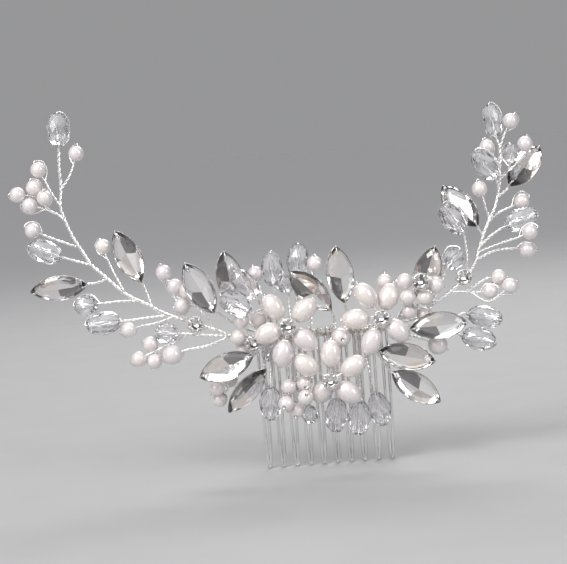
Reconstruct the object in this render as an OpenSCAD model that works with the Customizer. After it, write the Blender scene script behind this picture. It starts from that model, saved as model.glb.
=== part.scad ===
// Decorative hair comb: a ten-tooth wire comb that carries a spray of pearls, faceted beads and
// navette stones on twisted wire. Frame: origin at the middle of the spine, +X along the spine,
// +Z up as worn (the teeth point to -Z), and the decorated face looks to -Y.

/* [Comb] */
// Number of teeth along the spine
teeth = 10; // [6:1:14]
// Distance from one tooth to the next
tooth_pitch = 3.65; // [3.2:0.05:4.5]
// Length of a tooth below the spine
tooth_length = 35.5; // [25:0.5:45]
// Diameter of the comb wire
comb_wire = 0.84; // [0.7:0.02:1]
// Gap between the two legs of a tooth at the spine, centre to centre
leg_gap = 1.5; // [1.2:0.1:1.8]
// How far the tooth tips curve back towards the head
tooth_curve = 2; // [0:0.5:4]

/* [Wire] */
// Diameter of a twisted stem
stem_wire = 0.9; // [0.7:0.05:1.1]
// Diameter of a twisted twig that carries one pearl, bead or stone
twig_wire = 0.7; // [0.5:0.05:0.8]
// Diameter of the single wire through a pearl or bead
thread_wire = 0.4; // [0.3:0.05:0.5]
// Diameter of the fine wire wound around the spine
binding_wire = 0.36; // [0.3:0.02:0.5]
// Distance between two turns of the binding
binding_pitch = 1.2; // [1:0.1:2]

/* [Pearls and beads] */
// Diameter of a round pearl
pearl_d = 4.1; // [3.6:0.1:4.2]
// Diameter of a large round pearl
big_pearl_d = 5.2; // [4.6:0.1:5.2]
// Length of a rice pearl petal
petal_length = 7.4; // [6.4:0.1:7.6]
// Width of a rice pearl petal
petal_width = 5.4; // [4.8:0.1:5.6]
// Length of an oval faceted bead
oval_length = 8.7; // [7.5:0.1:8.8]
// Width of an oval faceted bead
oval_width = 6.2; // [5.4:0.1:6.2]
// Diameter of a round faceted bead
round_bead_d = 5.8; // [5:0.1:5.8]
// Diameter of a small faceted crystal
crystal_d = 4.6; // [4:0.1:4.6]
// Diameter of the drilled hole in a pearl, petal or bead
bore_d = 0.8; // [0.7:0.05:0.9]

/* [Stones] */
// Length of a navette stone
navette_length = 15; // [13:0.5:15]
// Width of a navette stone
navette_width = 7; // [6:0.25:7]
// Diameter of a round rhinestone
chaton_d = 3.6; // [3:0.1:3.8]

/* [Hidden] */

silver = "silver";
pearl_white = "ivory";
crystal_clear = "lightblue";
smooth = 48;
wire_sides = 6;
thread_sides = 4;
thread_end = 0.4;
row_length = (teeth - 1) * tooth_pitch;

// ---- Places, in millimetres as [x, y, z] ----

// A threaded piece is [centre, neck]: its wire comes from the neck and runs through the centre.
LEFT_STEM = [
  [-24, -3, 1.5], [-27, -3, 3], [-30.5, -3, 4.5], [-35, -3, 6], [-39, -3, 8], [-42, -3, 9.5],
  [-45, -3, 11.5], [-49.5, -3, 14], [-52.5, -2.5, 16.5], [-55.5, -2, 19.5], [-59, -1.5, 23],
  [-61, -1, 26.5], [-63, -0.5, 30], [-65, 0, 35], [-66, 0.5, 39], [-65.5, 1, 43.5],
  [-65.5, 1, 49], [-65.2, 1, 54]
];
LEFT_TWIGS = [
  [[-65.5, 1, 43.5], [-63.5, 1, 46], [-61.7, 1, 49.4]],
  [[-66, 0.5, 39], [-68, 0.5, 42.5], [-69.3, 0.5, 45.6]],
  [[-65, 0, 35], [-67, 0, 37], [-69.5, 0, 38.5], [-71.3, 1.4, 41.4], [-73.4, 1.2, 42.2]],
  [[-62.5, -0.5, 28], [-67, -1, 30], [-71, -1, 31.9]],
  [[-59, -1.5, 23], [-62.5, -1.8, 24.2], [-65.8, -2, 25.4]],
  [[-55.3, -2, 19], [-58, -2.2, 18.3], [-60.4, -2.5, 18.2]],
  [[-51, -3, 15.5], [-53, -2.6, 20], [-54.6, -2, 24.2]],
  [[-44, -3, 11], [-45, -2.6, 14.5], [-46, -2.5, 17.4]],
  [[-47.5, -3, 12.7], [-52, -3.4, 13], [-57, -3.5, 12.9]],
  [[-40, -3, 8.3], [-46, -3.5, 8.1], [-51.6, -3.8, 7.8]],
  [[-38.5, -3, 7.7], [-43, -4, 6.6], [-47.3, -4, 6.1]],
  [[-34.8, -3, 6.2], [-37, -3, 11], [-39.6, -1.2, 15.9]],
  [[-27.5, -3, 3.3], [-30, -3.5, 7], [-33.2, -4, 10.6]],
  [[-24, -3, 1.5], [-30, -3.4, 2.2], [-36.6, -3.5, 3.2]],
  [[-35.5, -3.5, 3], [-38.6, -1.6, 0.9], [-42.6, -3.5, -0.2]],
  [[-24, -3, 1.5], [-30, -3.6, -0.4], [-35.9, -4, -1.1]]
];
LEFT_PEARLS = [
  [[-60.7, 1, 52.5], [-61.7, 1, 49.4]],
  [[-71, 0.5, 49], [-69.3, 0.5, 45.6]],
  [[-72.6, 0.5, 44.4], [-71.3, 1.4, 41.4]],
  [[-77, 0, 42.9], [-73.4, 1.2, 42.2]],
  [[-69.7, -1.6, 41.6], [-69.5, 0, 38.5]],
  [[-74, 0, 39.8], [-69.5, 0, 38.5]],
  [[-73.7, -1, 33.2], [-71, -1, 31.9]],
  [[-55.6, -1, 27.6], [-54.6, -2, 24.2]],
  [[-50.4, -4.4, 5.4], [-47.3, -4, 6.1]],
  [[-40.2, -2.2, 19.6], [-39.6, -1.2, 15.9]],
  [[-37.5, -3.2, 15.8], [-33.2, -4, 10.6]],
  [[-34.2, -5.4, 14.6], [-33.2, -4, 10.6]],
  [[-36, -5.6, 10.7], [-33.2, -4, 10.6]],
  [[-45.2, -3, 1.1], [-42.6, -3.5, -0.2]],
  [[-48.5, -4, -2.5], [-42.6, -3.5, -0.2]],
  [[-44.6, -3, -3.5], [-42.6, -3.5, -0.2]]
];
LEFT_BIG_PEARL = [[-39.6, -4, -2.1], [-35.9, -4, -1.1]];
LEFT_CHATON = [-32.8, -3.3, 5.3];
// A setting is [centre, turn in the face's plane, roll about its length, pitch of its far tip].
LEFT_SETTINGS = [
  [[-67.9, -2.2, 18.1], 3, 25, 0],
  [[-48.9, -2.2, 24.6], 112, -10, 0]
];

RIGHT_STEM = [
  [29, -3, 5.5], [33, -3, 7.5], [36.5, -3, 10], [40, -3, 13.5], [42, -2.5, 16.5], [43, -2, 19.5],
  [44.5, -1.5, 23], [46, -1, 26], [48, -0.5, 29.5], [49, 0, 32.5], [50, 0.5, 37], [50.5, 1, 42],
  [50.6, 1, 46]
];
RIGHT_TWIGS = [
  [[50.6, 1, 46], [49.9, 1, 47.4]],
  [[50.6, 1, 45], [51.6, 1, 47.5], [52.4, 1, 49.2]],
  [[50.4, 1, 40.5], [49.6, 1.2, 42], [48.9, 1.5, 42.9]],
  [[49, 0, 32.5], [49.3, -0.6, 34.5], [49, -1.5, 36.6]],
  [[46.5, -1, 27], [45.6, -1.2, 29.5], [45.2, -1.5, 31.9]],
  [[50.2, 0.6, 37.5], [53.2, -1.6, 39.8], [56, -2.2, 42.4]],
  [[50, 0.5, 37], [51.6, -0.5, 38.3], [52.5, -1.4, 39.8]],
  [[49, 0, 32.3], [50.6, -0.2, 33.4], [52, -0.4, 34.4]],
  [[45.8, -1, 25.6], [49, 0.4, 28], [52.6, 1.5, 29.3]],
  [[43.2, -2, 19.8], [46.5, -1.6, 22.4], [49.4, -1.2, 24.1]],
  [[42.6, -2.2, 18.4], [47, -4, 20], [53, -5.5, 21.6]],
  [[42, -2.5, 16.5], [47, -2.6, 18.4], [52.4, -2.6, 18.6]],
  [[44.2, -1.6, 22.2], [43.8, -1.8, 23.6], [43.1, -2, 24.6]],
  [[38.8, -3, 12.3], [39.4, -4.8, 17.6], [39, -5.6, 23.2]],
  [[29, -3, 5.5], [31.5, -3, 9.5], [33.4, -3, 13.7]],
  [[34.5, -3, 8.6], [38.5, -3.6, 8.2], [42, -4.2, 8]],
  [[38.5, -3.6, 8.2], [42, -3, 10.2], [44.6, -2.6, 11.4]],
  [[40, -4, 8.1], [44, -6.5, 5.6], [47, -6.6, 7]]
];
RIGHT_PEARLS = [
  [[53.9, 0.4, 52], [52.4, 1, 49.2]],
  [[47.4, 1.5, 45.6], [48.9, 1.5, 42.9]],
  [[44.3, -1.5, 34.9], [45.2, -1.5, 31.9]],
  [[57, -1.5, 45.7], [56, -2.2, 42.4]],
  [[55.7, 2, 30.6], [52.6, 1.5, 29.3]],
  [[56.2, -5.5, 22.9], [53, -5.5, 21.6]],
  [[55.7, -2.6, 18], [52.4, -2.6, 18.6]],
  [[47.7, -2.5, 11.4], [44.6, -2.6, 11.4]],
  [[50, -5.9, 9.2], [47, -6.6, 7]],
  [[44.9, -4.3, 8.1], [42, -4.2, 8]]
];
RIGHT_CHATON = [38.3, -3.6, 12.2];
RIGHT_ARM_SETTINGS = [
  [[39.2, 1.4, 30.2], 126, 10, -25],
  [[56.9, 3, 39.3], 45, -14, -25]
];

// Faceted beads: [centre, neck, length, width]
LEFT_TIP = [[-65, 1, 59], [-65.2, 1, 54], oval_length, oval_width];
LEFT_OUTER = [[-70.7, -2.2, 27.6], [-65.8, -2, 25.4], oval_length, oval_width];
LEFT_LOWER = [[-57, -3.8, 7.5], [-51.6, -3.8, 7.8], oval_length, oval_width];
LEFT_ROUND = [[-61.2, -3, 12.7], [-57, -3.5, 12.9], round_bead_d, round_bead_d];
LEFT_INNER = [[-40.7, -3.6, 3.7], [-36.6, -3.5, 3.2], round_bead_d, round_bead_d];
RIGHT_TOP = [[49.2, 1.3, 52.4], [49.9, 1, 47.4], oval_length, oval_width - 1];
RIGHT_UPPER = [[46.1, -2.2, 41.1], [49, -1.5, 36.6], oval_length, oval_width];
RIGHT_SMALL = [[52.9, -1.6, 43.6], [52.5, -1.4, 39.8], crystal_d, crystal_d];
RIGHT_OUTER = [[54.8, -0.8, 26], [49.4, -1.2, 24.1], oval_length, oval_width];
RIGHT_INNER = [[36.2, -6.2, 27.9], [39, -5.6, 23.2], oval_length, oval_width];
RIGHT_ROUND = [[36.1, -3, 17.2], [33.4, -3, 13.7], round_bead_d, round_bead_d];
TOP_1 = [[-19, -5.5, 15], [-16, -5, 10.4], oval_length, oval_width];
TOP_2 = [[-21.9, -9.1, 10.5], [-17.9, -8.6, 7.6], oval_length, oval_width];
TOP_3 = [[-11.7, -5, 18.4], [-11.6, -5, 13], oval_length, oval_width];
TOP_4 = [[-4.8, 0.4, 19.7], [-5.5, 0, 14.2], oval_length, oval_width];
TOP_CRYSTAL = [[-8.6, -1, 13.9], [-7.9, -1, 11], crystal_d, crystal_d];
SIDE_1 = [[43.1, -4.5, 1.4], [37.6, -4.6, 2.9], oval_length, oval_width];
SIDE_2 = [[40.7, -7.7, -3.8], [35.3, -6.9, -2.2], oval_length, oval_width];
BACK_CRYSTAL = [[-14, -5.6, -3.4], [-13, -3, -1.6], crystal_d, crystal_d];
DROP_1 = [[-14.8, -5, -16.9], [-14.5, -5, -11.4], oval_length, oval_width];
DROP_2 = [[2.2, -4.3, -21.5], [3, -4.3, -16], oval_length, oval_width];
DROP_3 = [[8.1, -6.7, -22.3], [8.8, -6.6, -16.8], oval_length, oval_width];
DROP_4 = [[13.7, -3.9, -20.9], [12.6, -3.9, -15.5], oval_length, oval_width];
DROP_CRYSTAL = [[-4.8, -3.2, -20.9], [-5.6, -3.2, -17.8], crystal_d, crystal_d];
LEFT_BEADS = [LEFT_TIP, LEFT_OUTER, LEFT_LOWER, LEFT_ROUND, LEFT_INNER];
RIGHT_BEADS = [RIGHT_TOP, RIGHT_UPPER, RIGHT_SMALL, RIGHT_OUTER, RIGHT_INNER, RIGHT_ROUND];
CENTER_BEADS = [
  TOP_1, TOP_2, TOP_3, TOP_4, TOP_CRYSTAL, SIDE_1, SIDE_2, BACK_CRYSTAL,
  DROP_1, DROP_2, DROP_3, DROP_4, DROP_CRYSTAL
];

// Flowers: the hub, then the centres of its petals or pearls
LEFT_FLOWER = [-8.7, -9.6, 3.8];
LEFT_PETALS = [
  [-12, -9.6, 9], [-4.2, -9.6, 7.5], [-14, -9.6, 2.2], [-4.6, -9.6, -0.2], [-10.6, -10, -3.3]
];
RIGHT_FLOWER = [15.6, -9, 4];
RIGHT_PETALS = [[9, -9, 4], [12, -9.7, 10], [18, -7.3, 9], [19.6, -9.1, 0.3], [12.7, -9, -2.2]];
LOWER_FLOWER = [1.2, -9, -11.4];
LOWER_PETALS = [[-4.8, -9, -6.9], [1.8, -9, -4.5], [7.4, -9, -8.2], [-1, -6.4, -14.6], [5.7, -9.4, -14.9]];
LEFT_BLOSSOM = [-18, -4.4, -0.6];
LEFT_BLOSSOM_PEARLS = [[-20.8, -5.8, 5.6], [-22, -5.5, 1.3], [-16.2, -4.6, 5.4], [-21, -3.2, -2.4]];
RIGHT_BLOSSOM = [26.3, -9.4, 12.7];
RIGHT_BLOSSOM_PEARLS = [[22.4, -9, 12.9], [22.9, -9.2, 8.7], [27.3, -9.4, 8.3], [30.5, -9.2, 11.2]];

UPPER_LEFT_SETTINGS = [[[-30.7, -8.6, 15.4], 116, -8, 0], [[-23.2, 1.4, 16.2], 99, 12, 0]];
LOWER_LEFT_SETTINGS = [[[-25.5, -6.8, -6.1], 18, -12, 0], [[-21.2, -3, -12.8], 45, 35, 0]];
TOP_SETTINGS = [[[-2, -3.2, 12], 132, -6, 4], [[5.8, -3.6, 15.5], 95, 10, 0]];
RIGHT_SETTINGS = [
  [[30.5, -7.2, 0.6], 2, 0, 0], [[21.8, -5.6, -7], -15, 8, 0], [[23.6, -3.6, -15.8], -36, -8, 0],
  [[28.9, -3.2, 13.8], 71, -6, 0]
];

UPPER_PEARLS = [
  [[-16.2, -1, 17.2], [-15.5, -1, 14]], [[-0.4, -2.6, 18.8], [-1, -2, 15.4]],
  [[17.6, -3.2, 12.7], [17.3, -3, 9]]
];
SIDE_PEARLS = [
  [[23.3, -6.7, 4.8], [21.6, -4.6, 3]], [[27.2, -5, 3.3], [25.4, -3.2, 2.4]],
  [[-28.6, -3, -11.9], [-26, -2.4, -9]], [[-28.2, -0.4, -15.4], [-25.9, -1.6, -12.8]],
  [[-25.2, 0.6, -10.6], [-22.8, -0.4, -8.4]]
];
SIDE_BIG_PEARLS = [[[30.3, -3, -5.2], [27.2, -2.6, -3.6]], [[4.9, -5.4, -0.9], [4.5, -2.2, -0.5]]];
LOWER_PEARLS = [
  [[-9.8, -6.5, -12.6], [-9.5, -4.4, -9.8]], [[-5.6, -6.6, -12], [-5.8, -4, -10.6]],
  [[-5.6, -9.1, -15.4], [-6, -6, -17]], [[-10.8, -8.4, -16.8], [-9.8, -5.4, -15.8]],
  [[-8.3, -6, -19.2], [-7.8, -3.4, -17]]
];
CENTER_TWIGS = [
  [[-16.5, -1.7, 0.3], [-19.5, -2.5, 0.8], [-22.8, -3, 1.3]],
  [[17, -1.7, 0.3], [22, -2.6, 3], [27.9, -3, 5.1]],
  [[-15, -1.7, 0.6], [-23.2, -3.9, 5.2], [-26.9, -8.9, 8.7]],
  [[-14, -1.6, 0.8], [-18.6, -0.4, 4], [-21.9, 1.1, 8.5]],
  [[-12, -1.7, 0.6], [-13.6, -3, 6], [-16, -5, 10.4]],
  [[-12.6, -1.8, 0.4], [-14, -5, 7.9], [-17.9, -8.6, 7.6]],
  [[-13, -1.6, 0.8], [-14, -1.2, 7], [-15.5, -1, 14]],
  [[-11, -1.7, 0.6], [-11.5, -3, 6], [-11.6, -5, 13]],
  [[-7, -1.7, 0.6], [-6, -1.6, 7], [-5.5, 0, 14.2]],
  [[-8, -1.7, 0.6], [-8, -1.6, 6], [-7.9, -1, 11]],
  [[-3, -1.7, 0.6], [-2, -1.8, 7], [-1, -2, 15.4]],
  [[3, -1.7, 0.6], [3.6, -2.6, 3.5], [2.9, -3.2, 6.4]],
  [[7.5, -1.7, 0.6], [7.2, -3.2, 5], [6.4, -4, 8]],
  [[16, -1.7, 0.6], [17, -2.2, 4], [17.3, -3, 9]],
  [[19, -2, 1.4], [23.5, -2.8, 3.4], [26.5, -3.5, 6.7]],
  [[18, -1.8, 0.8], [21.6, -4.6, 3]],
  [[19, -2, 0.6], [25.4, -3.2, 2.4]],
  [[17, -1.7, -0.3], [21, -2.2, -1.4], [27.2, -2.6, -3.6]],
  [[16, -1.7, 0], [19.5, -4, 0], [22.9, -7, 0.4]],
  [[12.5, -1.7, -0.6], [13.4, -4, -2.6], [14.5, -6, -4.9]],
  [[12, -1.7, -0.6], [14.2, -3, -6], [17.4, -4, -11.4]],
  [[18, -1.8, 0.3], [27, -4.6, 0.8], [33, -5, 1.6], [37.6, -4.6, 2.9]],
  [[17, -1.7, 0], [25, -5, -0.8], [32.5, -5.2, -1.2], [35.3, -6.9, -2.2]],
  [[-15, -1.7, -0.4], [-16.4, -4, -2], [-18.4, -6.6, -3.8]],
  [[-14, -1.7, -0.6], [-14.9, -3, -4.4], [-16, -4.4, -7.6]],
  [[-15.5, -1.7, -0.5], [-19.6, -1.4, -4.6], [-26, -2.4, -9]],
  [[-19.6, -1.4, -4.6], [-22.8, -0.4, -8.4]],
  [[-26, -2.4, -9], [-25.9, -1.6, -12.8]],
  [[-13, -1.7, -0.6], [-13, -3, -1.6]],
  [[-13.5, -1.7, -0.6], [-13.9, -2.8, -6], [-14.5, -5, -11.4]],
  [[3.5, -1.7, -0.6], [3.4, -3.4, -10], [3, -4.3, -16]],
  [[9, -1.7, -0.6], [9, -4, -10], [8.8, -6.6, -16.8]],
  [[10.5, -1.7, -0.6], [11.5, -3, -9], [12.6, -3.9, -15.5]],
  [[-9.3, -1.7, -0.6], [-9.4, -3, -5], [-9.5, -4.4, -9.8]],
  [[-6, -1.7, -0.6], [-5.9, -3, -5], [-5.8, -4, -10.6]],
  [[-7.6, -1.7, -0.6], [-7.5, -3.3, -12], [-6, -6, -17]],
  [[-7.5, -3.3, -12], [-9.8, -5.4, -15.8]],
  [[-7.5, -3.3, -12], [-7.8, -3.4, -17]],
  [[-7.5, -3.3, -12], [-5.6, -3.2, -17.8]],
  [[4.2, -1.6, 0], [4.5, -2.2, -0.5]],
  [[-9.5, -1.7, 0.5], [-9, -5, 2], LEFT_FLOWER],
  [[14.5, -1.7, 0.5], [15, -5, 2], RIGHT_FLOWER],
  [[1, -1.7, -0.6], [1.2, -4, -6], LOWER_FLOWER],
  [[-14.5, -1.7, 0.2], [-16, -4, 0.5], LEFT_BLOSSOM],
  [[20, -2.2, 1.8], [23.6, -4.6, 8], RIGHT_BLOSSOM]
];

// ---- Helpers ----

function unit(v) = v / norm(v);
function beyond(piece, reach) = piece[0] + unit(piece[0] - piece[1]) * reach;

// Stands its children, drawn along +Z, at a point with +Z turned to a direction.
module aim(point, direction) {
  across = norm([direction[0], direction[1]]);
  translate(point)
    rotate([0, atan2(across, direction[2]), atan2(direction[1], direction[0])])
      children();
}

// A wire through a list of points, drawn as short straight runs.
module wire(points, diameter, sides) {
  for (i = [0 : len(points) - 2])
    hull() {
      translate(points[i]) sphere(d = diameter, $fn = sides);
      translate(points[i + 1]) sphere(d = diameter, $fn = sides);
    }
}

module thread(piece, length) {
  wire([piece[1], beyond(piece, length / 2 + thread_end)], thread_wire, thread_sides);
}

module drilled_pearl(piece, diameter) {
  aim(piece[0], piece[0] - piece[1])
    difference() {
      sphere(d = diameter, $fn = smooth);
      cylinder(d = bore_d, h = 2 * diameter, center = true, $fn = smooth);
    }
}

module rice_pearl(piece) {
  aim(piece[0], piece[0] - piece[1])
    difference() {
      scale([1, 1, petal_length / petal_width]) sphere(d = petal_width, $fn = smooth);
      cylinder(d = bore_d, h = 2 * petal_length, center = true, $fn = smooth);
    }
}

// A faceted bead's envelope: flat drilled ends, sloping shoulders and a straight waist.
module faceted_bead(piece) {
  half = piece[2] / 2;
  wide = piece[3] / 2;
  profile = [
    [bore_d / 2, -half], [wide * 0.5, -half], [wide * 0.86, -half * 0.62], [wide, -half * 0.18],
    [wide, half * 0.18], [wide * 0.86, half * 0.62], [wide * 0.5, half], [bore_d / 2, half]
  ];
  color(crystal_clear)
    aim(piece[0], piece[0] - piece[1]) rotate_extrude($fn = smooth) polygon(profile);
}

// The pointed oval of a navette: two circles that cross at its tips.
module navette_outline(length, width) {
  radius = (length * length + width * width) / (4 * width);
  intersection() {
    translate([0, radius - width / 2]) circle(r = radius, $fn = 96);
    translate([0, width / 2 - radius]) circle(r = radius, $fn = 96);
  }
}

setting_wall = 0.35;
setting_rest = 0.9;
setting_height = 1.5;
stone_height = 1.8;
stone_dome = 22;
stone_play = 0.05;
// How far the ledge under a stone reaches in, at its tips and along its sides
tip_ledge = 1.5;
side_ledge = 0.8;

// Lays its children's length along the face at a setting's place.
module lay(place) {
  translate(place[0])
    rotate([0, -place[1], 0]) rotate([90, 0, 0]) rotate([place[2], -place[3], 0])
      children();
}

module setting(place) {
  lay(place)
    difference() {
      linear_extrude(setting_height)
        navette_outline(navette_length + 2 * setting_wall, navette_width + 2 * setting_wall);
      translate([0, 0, -1])
        linear_extrude(setting_height)
          navette_outline(navette_length - 2 * tip_ledge, navette_width - 2 * side_ledge);
      translate([0, 0, setting_rest])
        linear_extrude(setting_height)
          navette_outline(navette_length + stone_play, navette_width + stone_play);
    }
}

module navette(place) {
  lay(place)
    intersection() {
      translate([0, 0, setting_rest])
        linear_extrude(stone_height) navette_outline(navette_length - stone_play, navette_width - stone_play);
      translate([0, 0, setting_rest + stone_height - stone_dome]) sphere(r = stone_dome, $fn = 96);
    }
}

cup_height = 1.7;
cup_floor = 0.5;
cup_wall = 0.4;

// A round claw cup, its mouth towards the face.
module cup(point) {
  translate(point) rotate([90, 0, 0])
    difference() {
      cylinder(d = chaton_d + 2 * cup_wall, h = cup_height, $fn = smooth);
      translate([0, 0, cup_floor])
        cylinder(d = chaton_d + stone_play, h = cup_height, $fn = smooth);
    }
}

module chaton(point) {
  crown = 0.8;
  translate(point) rotate([90, 0, 0]) {
    translate([0, 0, cup_floor])
      cylinder(d = chaton_d - stone_play, h = cup_height - cup_floor, $fn = smooth);
    translate([0, 0, cup_height - stone_play])
      cylinder(d1 = chaton_d - stone_play, d2 = chaton_d * 0.55, h = crown, $fn = smooth);
  }
}

// How far a flower's cup stands in front of its hub
cup_lift = 1.4;
function cup_place(hub) = hub - [0, cup_lift, 0];
FLOWER_CUPS = [
  for (hub = [LEFT_FLOWER, RIGHT_FLOWER, LOWER_FLOWER, LEFT_BLOSSOM, RIGHT_BLOSSOM]) cup_place(hub)
];

// The hub's own wires: one through each petal, and one post to the cup.
module hub_wires(hub, centres, length) {
  for (centre = centres) thread([centre, hub], length);
  wire([hub, cup_place(hub)], twig_wire, wire_sides);
}

// ---- Comb ----

function tooth_x(i) = (i - (teeth - 1) / 2) * tooth_pitch;
// The leg's points from the spine to the tip; side is -1 or 1.
function leg(i, side) = [
  [tooth_x(i) + side * leg_gap / 2, 0, 0],
  [tooth_x(i) + side * leg_gap * 0.48, 0, -tooth_length * 0.35],
  [tooth_x(i) + side * leg_gap * 0.42, tooth_curve * 0.4, -tooth_length * 0.7],
  [tooth_x(i) + side * comb_wire * 0.4, tooth_curve, -tooth_length + comb_wire / 2]
];
top_rise = 0.7;
top_corner = 0.4;

module comb_teeth() {
  color(silver) {
    for (i = [0 : teeth - 1], side = [-1, 1]) wire(leg(i, side), comb_wire, wire_sides);
    for (i = [0 : teeth - 1]) wire([leg(i, -1)[3], leg(i, 1)[3]], comb_wire, wire_sides);
    for (i = [0 : teeth - 2])
      wire([
        leg(i, 1)[0], leg(i, 1)[0] + [top_corner, 0, top_rise],
        leg(i + 1, -1)[0] + [-top_corner, 0, top_rise], leg(i + 1, -1)[0]
      ], comb_wire, wire_sides);
  }
}

rod_d = 1;
rod_play = 0.03;
rod_y = -comb_wire / 2 - rod_d / 2 - rod_play;
rod_z = 0.3;
rod_overhang = 1;

module spine_rod() {
  color(silver)
    translate([-row_length / 2 - rod_overhang, rod_y, rod_z])
      rotate([0, 90, 0]) cylinder(d = rod_d, h = row_length + 2 * rod_overhang, $fn = smooth);
}

turn_steps = 8;
// The binding's reach from its middle, front to back and up and down
binding_reach = [1.4, 1.1];
turns = floor((row_length + 1) / binding_pitch);
function coil_point(k) = [
  (k / turn_steps - turns / 2) * binding_pitch,
  rod_y / 2 + binding_reach[0] * cos(k * 360 / turn_steps),
  rod_z + binding_reach[1] * sin(k * 360 / turn_steps)
];

module spine_binding() {
  color(silver)
    wire([for (k = [0 : turns * turn_steps]) coil_point(k)], binding_wire, thread_sides);
}

// ---- Centre spray ----

module center_stems() {
  color(silver) {
    for (points = CENTER_TWIGS) wire(points, twig_wire, wire_sides);
    for (bead = CENTER_BEADS) thread(bead, bead[2]);
    for (pearl = concat(UPPER_PEARLS, SIDE_PEARLS, LOWER_PEARLS)) thread(pearl, pearl_d);
    for (pearl = SIDE_BIG_PEARLS) thread(pearl, big_pearl_d);
    hub_wires(LEFT_FLOWER, LEFT_PETALS, petal_length);
    hub_wires(RIGHT_FLOWER, RIGHT_PETALS, petal_length);
    hub_wires(LOWER_FLOWER, LOWER_PETALS, petal_length);
    hub_wires(LEFT_BLOSSOM, LEFT_BLOSSOM_PEARLS, pearl_d);
    hub_wires(RIGHT_BLOSSOM, RIGHT_BLOSSOM_PEARLS, pearl_d);
  }
}

module petals(hub, centres) {
  color(pearl_white) for (centre = centres) rice_pearl([centre, hub]);
}
module blossom(hub, centres) {
  color(pearl_white) for (centre = centres) drilled_pearl([centre, hub], pearl_d);
}
module pearls(pieces) {
  color(pearl_white) for (piece = pieces) drilled_pearl(piece, pearl_d);
}
module settings(places) {
  color(silver) for (place = places) setting(place);
}
module navettes(places) {
  color(crystal_clear) for (place = places) navette(place);
}

module left_flower_petals() { petals(LEFT_FLOWER, LEFT_PETALS); }
module right_flower_petals() { petals(RIGHT_FLOWER, RIGHT_PETALS); }
module lower_flower_petals() { petals(LOWER_FLOWER, LOWER_PETALS); }
module left_blossom_pearls() { blossom(LEFT_BLOSSOM, LEFT_BLOSSOM_PEARLS); }
module right_blossom_pearls() { blossom(RIGHT_BLOSSOM, RIGHT_BLOSSOM_PEARLS); }
module flower_cups() { color(silver) for (point = FLOWER_CUPS) cup(point); }
module flower_rhinestones() { color(crystal_clear) for (point = FLOWER_CUPS) chaton(point); }
module upper_left_settings() { settings(UPPER_LEFT_SETTINGS); }
module upper_left_navettes() { navettes(UPPER_LEFT_SETTINGS); }
module lower_left_settings() { settings(LOWER_LEFT_SETTINGS); }
module lower_left_navettes() { navettes(LOWER_LEFT_SETTINGS); }
module top_settings() { settings(TOP_SETTINGS); }
module top_navettes() { navettes(TOP_SETTINGS); }
module right_settings() { settings(RIGHT_SETTINGS); }
module right_navettes() { navettes(RIGHT_SETTINGS); }
module upper_pearls() { pearls(UPPER_PEARLS); }
module side_pearls() {
  pearls(SIDE_PEARLS);
  color(pearl_white) for (piece = SIDE_BIG_PEARLS) drilled_pearl(piece, big_pearl_d);
}
module lower_pearls() { pearls(LOWER_PEARLS); }

// ---- Arms ----

joint_ball = 1.1;

module arm_wires(stem, twigs, small_pearls, beads) {
  translate(stem[0]) sphere(d = joint_ball, $fn = wire_sides);
  wire(stem, stem_wire, wire_sides);
  for (points = twigs) wire(points, twig_wire, wire_sides);
  for (pearl = small_pearls) thread(pearl, pearl_d);
  for (bead = beads) thread(bead, bead[2]);
}

module left_stem() {
  color(silver) {
    arm_wires(LEFT_STEM, LEFT_TWIGS, LEFT_PEARLS, LEFT_BEADS);
    thread(LEFT_BIG_PEARL, big_pearl_d);
  }
}
module left_pearls() {
  pearls(LEFT_PEARLS);
  color(pearl_white) drilled_pearl(LEFT_BIG_PEARL, big_pearl_d);
}
module left_settings() { settings(LEFT_SETTINGS); }
module left_navettes() { navettes(LEFT_SETTINGS); }
module left_chaton_cup() { color(silver) cup(LEFT_CHATON); }
module left_chaton() { color(crystal_clear) chaton(LEFT_CHATON); }
module right_stem() {
  color(silver) arm_wires(RIGHT_STEM, RIGHT_TWIGS, RIGHT_PEARLS, RIGHT_BEADS);
}
module right_pearls() { pearls(RIGHT_PEARLS); }
module right_arm_settings() { settings(RIGHT_ARM_SETTINGS); }
module right_arm_navettes() { navettes(RIGHT_ARM_SETTINGS); }
module right_chaton_cup() { color(silver) cup(RIGHT_CHATON); }
module right_chaton() { color(crystal_clear) chaton(RIGHT_CHATON); }

module left_tip_bead() { faceted_bead(LEFT_TIP); }
module left_outer_bead() { faceted_bead(LEFT_OUTER); }
module left_lower_bead() { faceted_bead(LEFT_LOWER); }
module left_round_bead() { faceted_bead(LEFT_ROUND); }
module left_inner_bead() { faceted_bead(LEFT_INNER); }
module right_top_bead() { faceted_bead(RIGHT_TOP); }
module right_upper_bead() { faceted_bead(RIGHT_UPPER); }
module right_small_bead() { faceted_bead(RIGHT_SMALL); }
module right_outer_bead() { faceted_bead(RIGHT_OUTER); }
module right_inner_bead() { faceted_bead(RIGHT_INNER); }
module right_round_bead() { faceted_bead(RIGHT_ROUND); }
module top_bead_1() { faceted_bead(TOP_1); }
module top_bead_2() { faceted_bead(TOP_2); }
module top_bead_3() { faceted_bead(TOP_3); }
module top_bead_4() { faceted_bead(TOP_4); }
module top_crystal() { faceted_bead(TOP_CRYSTAL); }
module side_bead_1() { faceted_bead(SIDE_1); }
module side_bead_2() { faceted_bead(SIDE_2); }
module back_crystal() { faceted_bead(BACK_CRYSTAL); }
module drop_bead_1() { faceted_bead(DROP_1); }
module drop_bead_2() { faceted_bead(DROP_2); }
module drop_bead_3() { faceted_bead(DROP_3); }
module drop_bead_4() { faceted_bead(DROP_4); }
module drop_crystal() { faceted_bead(DROP_CRYSTAL); }

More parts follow.
